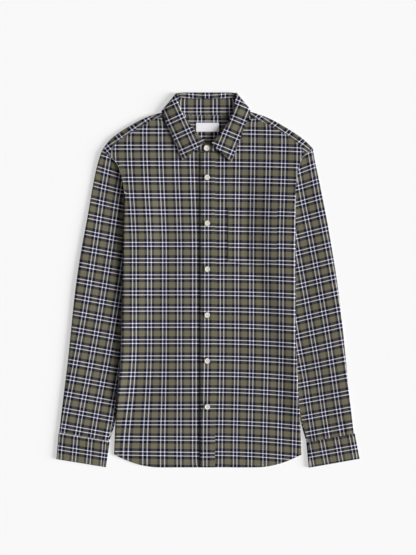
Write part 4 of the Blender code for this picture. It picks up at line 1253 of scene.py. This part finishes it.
# How the plaid lies on each leaf: the lean of its long lines from the shirt's length, in
# degrees, and how far up the leaf's edge from its point the first cross pair is
LeafPlaid = namedtuple("LeafPlaid", "lean first")
LEAF_PLAID = {"right": LeafPlaid(24.3, 16.9), "left": LeafPlaid(22.0, 19.2)}
EDGE_TO_PAIR = 3.7
# and round the back
BACK_EDGE_TO_PAIR, BACK_PAIR_X = 1.0, -1.3

rows = []
for rib in neck_ring():
    lift = np.array((0, 0, rib.station.rise + (BAND + SEAM) * (rib.angle == 90)))
    inner = STAND_RADIUS - BAND
    rho = (FALL_RADIUS - inner) / 2
    begin = rib.roll - rib.up * (rib.station.inside - SEAM)
    turn_start = rib.roll - rib.up * rho
    row = [begin + rib.out * inner + lift, turn_start + rib.out * inner + lift]
    for step in range(1, ROLL_CELLS):
        turn = math.pi * step / ROLL_CELLS
        across = inner + rho * (1 - math.cos(turn))
        row.append(turn_start + rib.up * rho * math.sin(turn) + rib.out * across + lift)
    top = turn_start + rib.out * FALL_RADIUS + lift
    low = rib.edge + rib.out * FALL_RADIUS + lift * FRONT_LIFT
    row.append(top)
    for c in range(1, FALL_CELLS + 1):
        share = c / FALL_CELLS
        belly = FALL_BELLY * math.sin(math.pi * share) * (rib.angle > 0)
        row.append(top + (low - top) * share + np.array((0, 0, belly)))
    plaid = LEAF_PLAID[rib.side]
    lean = math.radians(plaid.lean)
    tip = np.array(COLLAR_FRONT[rib.side][0].edge)
    long_way = np.array((SIDES[rib.side] * math.sin(lean), math.cos(lean)))
    cross_way = np.array((-SIDES[rib.side] * math.cos(lean), math.sin(lean)))
    from_edge = 0.0
    placed = []
    for i in range(len(row) - 1, -1, -1):
        if i < len(row) - 1:
            from_edge += math.dist(row[i], row[i + 1])
        u, v = from_edge - BACK_EDGE_TO_PAIR, row[i][0] - BACK_PAIR_X
        if rib.angle > 0:
            u = float(np.dot(row[i][:2] - tip, cross_way)) - EDGE_TO_PAIR
            v = float(np.dot(row[i][:2] - tip, long_way)) - plaid.first
        placed.append((*row[i], u, v))
    rows.append(placed[::-1])
collar = cloth_piece("collar_fall", rows, wall=BAND, probe=(1, ROLL_CELLS + 2))
sewn_in(collar, "collar", flat=(0.465, 0.076), rests_on=["front_left", "front_right"])

# ---------------------------------------------------------------- neck label
# A white woven tape, tacked to the yoke inside at its ends. It is bare.

LABEL_X, LABEL_Y, LABEL_WIDTH, LABEL_HEIGHT = -0.6, 327.6, 48.8, 18.8
LABEL_WALL = 0.9
YOKE_LAYER, LABEL_GAP, LABEL_LAYER = 1.1, 0.5, 1.0  # from the yoke's underside up
LABEL_ROWS, LABEL_CELLS = 4, 8


def mottle_group():
    """Two tones that run into each other like cloud. Grain is how far from dark to light."""
    group = bpy.data.node_groups.new("mottle", "ShaderNodeTree")
    for in_out, name, kind in (
        ("INPUT", "Vector", "Vector"), ("INPUT", "Scale", "Float"), ("INPUT", "Detail", "Float"),
        ("INPUT", "Dark", "Color"), ("INPUT", "Light", "Color"),
        ("OUTPUT", "Colour", "Color"), ("OUTPUT", "Grain", "Float"),
    ):
        group.interface.new_socket(name=name, in_out=in_out, socket_type=f"NodeSocket{kind}")
    given = group.nodes.new("NodeGroupInput").outputs
    result = group.nodes.new("NodeGroupOutput").inputs
    grain = noise_node(group, given["Vector"], given["Scale"], given["Detail"])
    group.links.new(mixed(group, grain, given["Dark"], given["Light"]), result["Colour"])
    group.links.new(grain, result["Grain"])
    return group


mottle = mottle_group()


def mottled(tree, **values):
    """Colours a material with the mottle, and gives its grain."""
    node = tree.nodes.new("ShaderNodeGroup")
    node.node_tree = mottle
    for name, value in values.items():
        feed(tree, node.inputs[name], value)
    tree.links.new(node.outputs["Colour"], tree.nodes["Principled BSDF"].inputs["Base Color"])
    return node.outputs["Grain"]


def woven_tape():
    material = new_material("white woven tape", {"Roughness": 0.55, "Sheen Weight": 0.2})
    tree = material.node_tree
    grain = mottled(
        tree, Vector=stretched(tree, on_cloth(tree), 4000, 700), Scale=1.0, Detail=2.0,
        Dark=(0.7, 0.69, 0.72, 1), Light=(0.82, 0.81, 0.84, 1),
    )
    raised(tree, grain, 0.3, 0.0001)
    return material


rows = []
for share in np.linspace(-0.5, 0.5, LABEL_ROWS + 1):
    y = LABEL_Y - LABEL_HEIGHT * share
    row = []
    for across in np.linspace(-0.5, 0.5, LABEL_CELLS + 1):
        x = LABEL_X + LABEL_WIDTH * across
        z = yoke_underside(x, y) + YOKE_LAYER + LABEL_GAP + LABEL_LAYER
        row.append((x, y, z, LABEL_WIDTH * across, LABEL_HEIGHT * share))
    rows.append(row)
label = cloth_piece("neck_label_tape", rows, wall=LABEL_WALL)
label.data.materials[0] = woven_tape()
sewn_in(label, "neck_label", flat=(0.049, 0.019), rests_on=["yoke"])

# ---------------------------------------------------------------- stitching
# Single-needle seams in olive thread: along the placket, the pocket, the hem, the collar,
# the stand and the cuffs, and on the body's side of the yoke and armhole seams.

STITCH_LENGTH, STITCH_PITCH, STITCH_WIDTH = 2.1, 2.9, 0.42
STITCH_FLAT, STITCH_OUT = 0.8, 0.1  # share of its width that it is high, and how far out
STITCH_PROBE = 0.4  # its ends are looked for this far to each side of its middle
DOWN, LOOK_FROM = Vector((0, 0, -1)), 0.05  # metres above the floor
# How far each row of stitches is from the edge or the seam
PLACKET_TURN, HEM_TURN, ARMHOLE_TURN, YOKE_SIDE, FRONT_SIDE = 5, 7.0, 6.5, 2.0, 1.8
POCKET_TURN, POCKET_HEM, COLLAR_TURN, LABEL_TURN = 2.0, 16, 5.0, 1.2
CUFF_TOP_TURN, CUFF_TURN, CUFF_END = 2, 5, 4
COLLAR_FRONT_ROW = 50  # length of the row up a leaf's front edge
STAND_SEAMS = [
    [(-13, 279), (-13.6, 284), (-13, 289)],
    [(-12, 277.2), (-3, 276.6), (8, 277.0)],
    [(-66, 357), (-42, 356), (-3, 355.6), (38, 356), (60, 357)],
    [(-66, 386.2), (-30, 386.4), (26, 386.5), (58, 386.2)],
]


def sewing_thread():
    material = new_material("sewing thread", {"Roughness": 0.7, "Sheen Weight": 0.2})
    tree = material.node_tree
    place = tree.nodes.new("ShaderNodeTexCoord").outputs["Object"]
    mottled(
        tree, Vector=place, Scale=900.0, Detail=2.0,
        Dark=(0.07, 0.065, 0.045, 1), Light=(0.17, 0.16, 0.11, 1),
    )
    return material


thread = sewing_thread()
white_thread = new_material("white thread", {
    "Base Color": (0.8, 0.8, 0.82, 1),
    "Roughness": 0.7,
    "Sheen Weight": 0.2,
})

bpy.ops.object.select_all(action="DESELECT")
bpy.ops.mesh.primitive_uv_sphere_add(segments=6, ring_count=4, radius=0.5)
one_stitch = bpy.context.object
stitch_points = np.array([vertex.co[:] for vertex in one_stitch.data.vertices])
stitch_faces = [list(polygon.vertices) for polygon in one_stitch.data.polygons]
bpy.ops.object.delete()


def stitches(name, slot, piece, lines, material=thread, length=STITCH_LENGTH,
             pitch=STITCH_PITCH, width=STITCH_WIDTH):
    """Rows of thread laid on a piece along lines of (x, y), found from above."""
    bpy.context.view_layer.update()
    points, faces = [], []
    for line in lines:
        line = np.array(line, float)
        reach = reach_along(line)
        count = max(2, int(reach[-1] / pitch))
        for i in range(count):
            ends = []
            for offset in (-STITCH_PROBE, STITCH_PROBE):
                at = (i + 0.5) * reach[-1] / count + offset
                spot = Vector([np.interp(at, reach, line[:, k]) for k in (0, 1)] + [0])
                hit = piece.ray_cast(spot * MM - DOWN * LOOK_FROM, DOWN)
                if hit[0]:
                    ends.append(hit[1:3])
            if len(ends) < 2:
                continue
            (start, normal), end = ends[0], ends[1][0]
            way = (end - start).normalized()
            turn = np.array([way[:], normal.cross(way)[:], normal[:]]).T
            scaled = stitch_points * (length * MM, width * MM, width * STITCH_FLAT * MM)
            middle = np.array((start + end) / 2)
            moved = scaled @ turn.T + middle + np.array(normal) * STITCH_OUT * MM
            faces += [[len(points) + k for k in face] for face in stitch_faces]
            points += [tuple(p) for p in moved]
    mesh = bpy.data.meshes.new(name)
    mesh.from_pydata(points, [], faces)
    mesh.materials.append(material)
    sewn = bpy.data.objects.new(name, mesh)
    bpy.context.scene.collection.objects.link(sewn)
    mesh.shade_smooth()
    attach(sewn, "root")


def hem_line(side, up):
    """The line of a front's hem stitches, from the placket to the side fold."""
    line = []
    for girth in np.linspace(4, 196, 40):
        line.append((SIDES[side] * girth * 1.01, HEM + hem_rise(girth) + up))
    return [point for point in line if abs(point[0]) > 17]


placket_ys = np.linspace(270, HEM + 9, 60)
stitches("placket_stitches", "placket", placket, [
    [(PLACKET_FREE + PLACKET_TURN, y) for y in placket_ys],
    [(PLACKET_SEAM - PLACKET_TURN, y) for y in placket_ys],
    [(x, HEM + HEM_TURN) for x in (PLACKET_FREE + 1, PLACKET_SEAM - 1)],
])
left, right = POCKET_LEFT + POCKET_TURN, POCKET_RIGHT - POCKET_TURN
stitches("pocket_stitches", "pocket", pocket, [
    [(left, POCKET_TOP - 1), (left, POCKET_SIDE_END + POCKET_TURN),
     ((POCKET_LEFT + POCKET_RIGHT) / 2, POCKET_POINT + POCKET_TURN),
     (right, POCKET_SIDE_END + POCKET_TURN), (right, POCKET_TOP - 1)],
    [(POCKET_LEFT + 3, POCKET_TOP - POCKET_HEM), (POCKET_RIGHT - 3, POCKET_TOP - POCKET_HEM)],
    [(POCKET_MIDDLE, POCKET_TOP - 2), (POCKET_MIDDLE, POCKET_POINT + 3)],
])
for side, piece in (("right", front_right), ("left", front_left)):
    stitches(f"front_{side}_stitches", f"front_{side}", piece, [
        hem_line(side, HEM_TURN),
        beside(ARMHOLE[side][YOKE_CORNER:], side, ARMHOLE_TURN)[1:],
        beside(YOKE_FRONT[side], side, FRONT_SIDE),
    ])
stitches("yoke_stitches", "yoke", yoke, [
    beside(YOKE_FRONT[side], side, -YOKE_SIDE)[:-1] for side in SIDES
])

fall_lines = []
for side in SIDES:
    edges = [station.edge for station in COLLAR_FRONT[side]] + [COLLAR_CORNER[side].edge]
    outer_line = beside(edges, side, -COLLAR_TURN)[1:-1]
    tip, roll = np.array(edges[0], float), np.array(COLLAR_FRONT[side][0].roll, float)
    front_way, long_way = unit(roll - tip), unit(np.array(edges[1], float) - tip)
    corner = tip + (front_way + long_way) * COLLAR_TURN / abs(np.cross(front_way, long_way))
    fall_lines.append([*outer_line[::-1], corner, corner + front_way * COLLAR_FRONT_ROW])
stitches("collar_stitches", "collar", collar, fall_lines)
stitches("collar_stand_stitches", "collar_stand", stand, STAND_SEAMS)
for side, shape in CUFFS.items():
    top_outer, top_inner, bottom_outer, bottom_inner = (np.array(p, float) for p in shape)
    across, down = unit(top_inner - top_outer), unit(bottom_outer - top_outer)
    in_from_end = across * CUFF_END
    stitches(f"cuff_{side}_stitches", f"cuff_{side}", bpy.data.objects[f"cuff_{side}_band"], [
        [top_outer + in_from_end + down * CUFF_TOP_TURN,
         top_inner - in_from_end + down * CUFF_TOP_TURN],
        [bottom_outer + in_from_end - down * CUFF_TURN,
         bottom_inner - in_from_end - down * CUFF_TURN],
    ])
half_width, half_height = LABEL_WIDTH / 2 - LABEL_TURN, LABEL_HEIGHT / 2 - LABEL_TURN
stitches("neck_label_stitches", "neck_label", label, [
    [(LABEL_X + sign * half_width, LABEL_Y - half_height),
     (LABEL_X + sign * half_width, LABEL_Y + half_height)]
    for sign in (-1, 1)
], white_thread)

# ---------------------------------------------------------------- buttons
# Ivory shirt buttons, turned from the rod with a raised rim and a shallow well, four holes
# and a cross of thread. One sits on the stand's tab and six on the placket.

BUTTON_RADIUS, BUTTON_HEIGHT, BUTTON_SIDES = 5.6, 2.3, 40
TURNED_EDGE, TURNED_STEPS, TURNED_ABOVE, SMOOTH_BUTTON = 0.35, 3, 20, 35
WellStep = namedtuple("WellStep", "inset down")
WELL = [WellStep(1.5, 0.55), WellStep(0.5, 0.1)]
HOLES, HOLE_RADIUS, HOLE_OUT, HOLE_SIDES = 4, 0.75, 1.45, 12
# Two strands cross from hole to hole, the second one on top of the first
STRANDS, STRAND_REACH, STRAND_WIDTH, STRAND_HEIGHT = (45, 135), 1.15, 0.5, 0.42
STRAND_BELOW_RIM, STRAND_STEP = 0.62, 0.12
BUTTON_X, STAND_BUTTON = -0.9, (-2.6, 282.3)
PLACKET_BUTTONS = 6


def ivory_resin():
    material = new_material("ivory button resin", {
        "Roughness": 0.28, "Coat Weight": 0.3, "Coat Roughness": 0.15,
    })
    tree = material.node_tree
    place = tree.nodes.new("ShaderNodeTexCoord").outputs["Object"]
    mottled(
        tree, Vector=place, Scale=260.0, Detail=4.0,
        Dark=(0.6, 0.56, 0.46, 1), Light=(0.83, 0.8, 0.72, 1),
    )
    return material


bpy.ops.object.select_all(action="DESELECT")
bpy.ops.mesh.primitive_cylinder_add(
    vertices=BUTTON_SIDES, radius=BUTTON_RADIUS * MM, depth=BUTTON_HEIGHT * MM,
    location=(0, 0, BUTTON_HEIGHT * MM / 2),
)
blank = bpy.context.object
blank.name = "button_blank"
bpy.ops.object.transform_apply(location=True)
for polygon in blank.data.polygons:
    polygon.select = polygon.normal.z > 0.9
bpy.ops.object.mode_set(mode="EDIT")
for step in WELL:
    bpy.ops.mesh.inset(thickness=step.inset * MM)
    bpy.ops.transform.translate(value=(0, 0, -step.down * MM))
bpy.ops.object.mode_set(mode="OBJECT")
soft = blank.modifiers.new("turned edges", "BEVEL")
soft.width = TURNED_EDGE * MM
soft.segments = TURNED_STEPS
soft.limit_method = "ANGLE"
soft.angle_limit = math.radians(TURNED_ABOVE)
bpy.ops.object.modifier_apply(modifier=soft.name)
for i in range(HOLES):
    turn = math.pi / 4 + i * math.pi / 2
    bpy.ops.object.select_all(action="DESELECT")
    bpy.ops.mesh.primitive_cylinder_add(
        vertices=HOLE_SIDES, radius=HOLE_RADIUS * MM, depth=0.008,
        location=(HOLE_OUT * MM * math.cos(turn), HOLE_OUT * MM * math.sin(turn), 0),
    )
    drill = bpy.context.object
    bpy.ops.object.transform_apply(location=True)
    hole = blank.modifiers.new("hole", "BOOLEAN")
    hole.operation = "DIFFERENCE"
    hole.object = drill
    bpy.context.view_layer.objects.active = blank
    bpy.ops.object.modifier_apply(modifier=hole.name)
    bpy.data.objects.remove(drill)
bpy.ops.object.select_all(action="DESELECT")
blank.select_set(True)
bpy.context.view_layer.objects.active = blank
bpy.ops.object.shade_smooth_by_angle(angle=math.radians(SMOOTH_BUTTON))
blank.data.materials.clear()
blank.data.materials.append(ivory_resin())

bpy.ops.object.select_all(action="DESELECT")
strands = []
for i, turn in enumerate(STRANDS):
    bpy.ops.mesh.primitive_uv_sphere_add(segments=10, ring_count=8, radius=1)
    strand = bpy.context.object
    strand.scale = (HOLE_OUT * STRAND_REACH * MM, STRAND_WIDTH * MM, STRAND_HEIGHT * MM)
    strand.rotation_euler = (0, 0, math.radians(turn))
    strand.location = (0, 0, (BUTTON_HEIGHT - STRAND_BELOW_RIM + STRAND_STEP * i) * MM)
    strand.select_set(True)
    bpy.ops.object.transform_apply(location=True, rotation=True, scale=True)
    strands.append(strand)
for strand in strands:
    strand.select_set(True)
bpy.context.view_layer.objects.active = strands[0]
bpy.ops.object.join()
cross = bpy.context.object
bpy.ops.object.shade_smooth()
cross.data.materials.clear()
cross.data.materials.append(white_thread)

buttons = {"button_stand": STAND_BUTTON}
for i in range(PLACKET_BUTTONS):
    buttons[f"button_{i + 1}"] = (BUTTON_X, FIRST_BUTTON_Y - BUTTON_STEP * i)
for name, (x, y) in buttons.items():
    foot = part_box(name)[0][2] + creases(x, y) * MM * (name != "button_stand")
    for base, kind in ((blank, "turned"), (cross, "thread")):
        copy = base.copy()
        copy.data = base.data.copy()
        copy.name = f"{name}_{kind}"
        bpy.context.scene.collection.objects.link(copy)
        for vertex in copy.data.vertices:
            vertex.co += Vector((x * MM, y * MM, foot))
        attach(copy, "root")
        if kind == "turned":
            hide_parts(name)
bpy.data.objects.remove(blank)
bpy.data.objects.remove(cross)

# ---------------------------------------------------------------- buttonholes
# Worked in dense thread on both sides of a slit: upright on the placket, level on the tab.

SLIT_SIDE, SLIT_REACH, SLIT_STITCHES, HALF_BAR = 0.75, 7.2, 26, 0.45
DENSE = {"length": 1.1, "pitch": 0.6, "width": 0.5}


def buttonhole(x, y, level=False):
    """Short bars across both sides of a slit."""
    bars = []
    for away in (-SLIT_SIDE, SLIT_SIDE):
        for step in np.linspace(-SLIT_REACH, SLIT_REACH, SLIT_STITCHES):
            if level:
                bars.append([(x + step, y + away - HALF_BAR), (x + step, y + away + HALF_BAR)])
            else:
                bars.append([(x + away - HALF_BAR, y + step), (x + away + HALF_BAR, y + step)])
    return bars


holes = []
for name, (x, y) in buttons.items():
    if name != "button_stand":
        holes += buttonhole(x, y)
stitches("buttonhole_stitches", "placket", placket, holes, **DENSE)
tab_hole = buttonhole(*STAND_BUTTON, level=True)
stitches("tab_buttonhole_stitches", "collar_stand", stand, tab_hole, **DENSE)
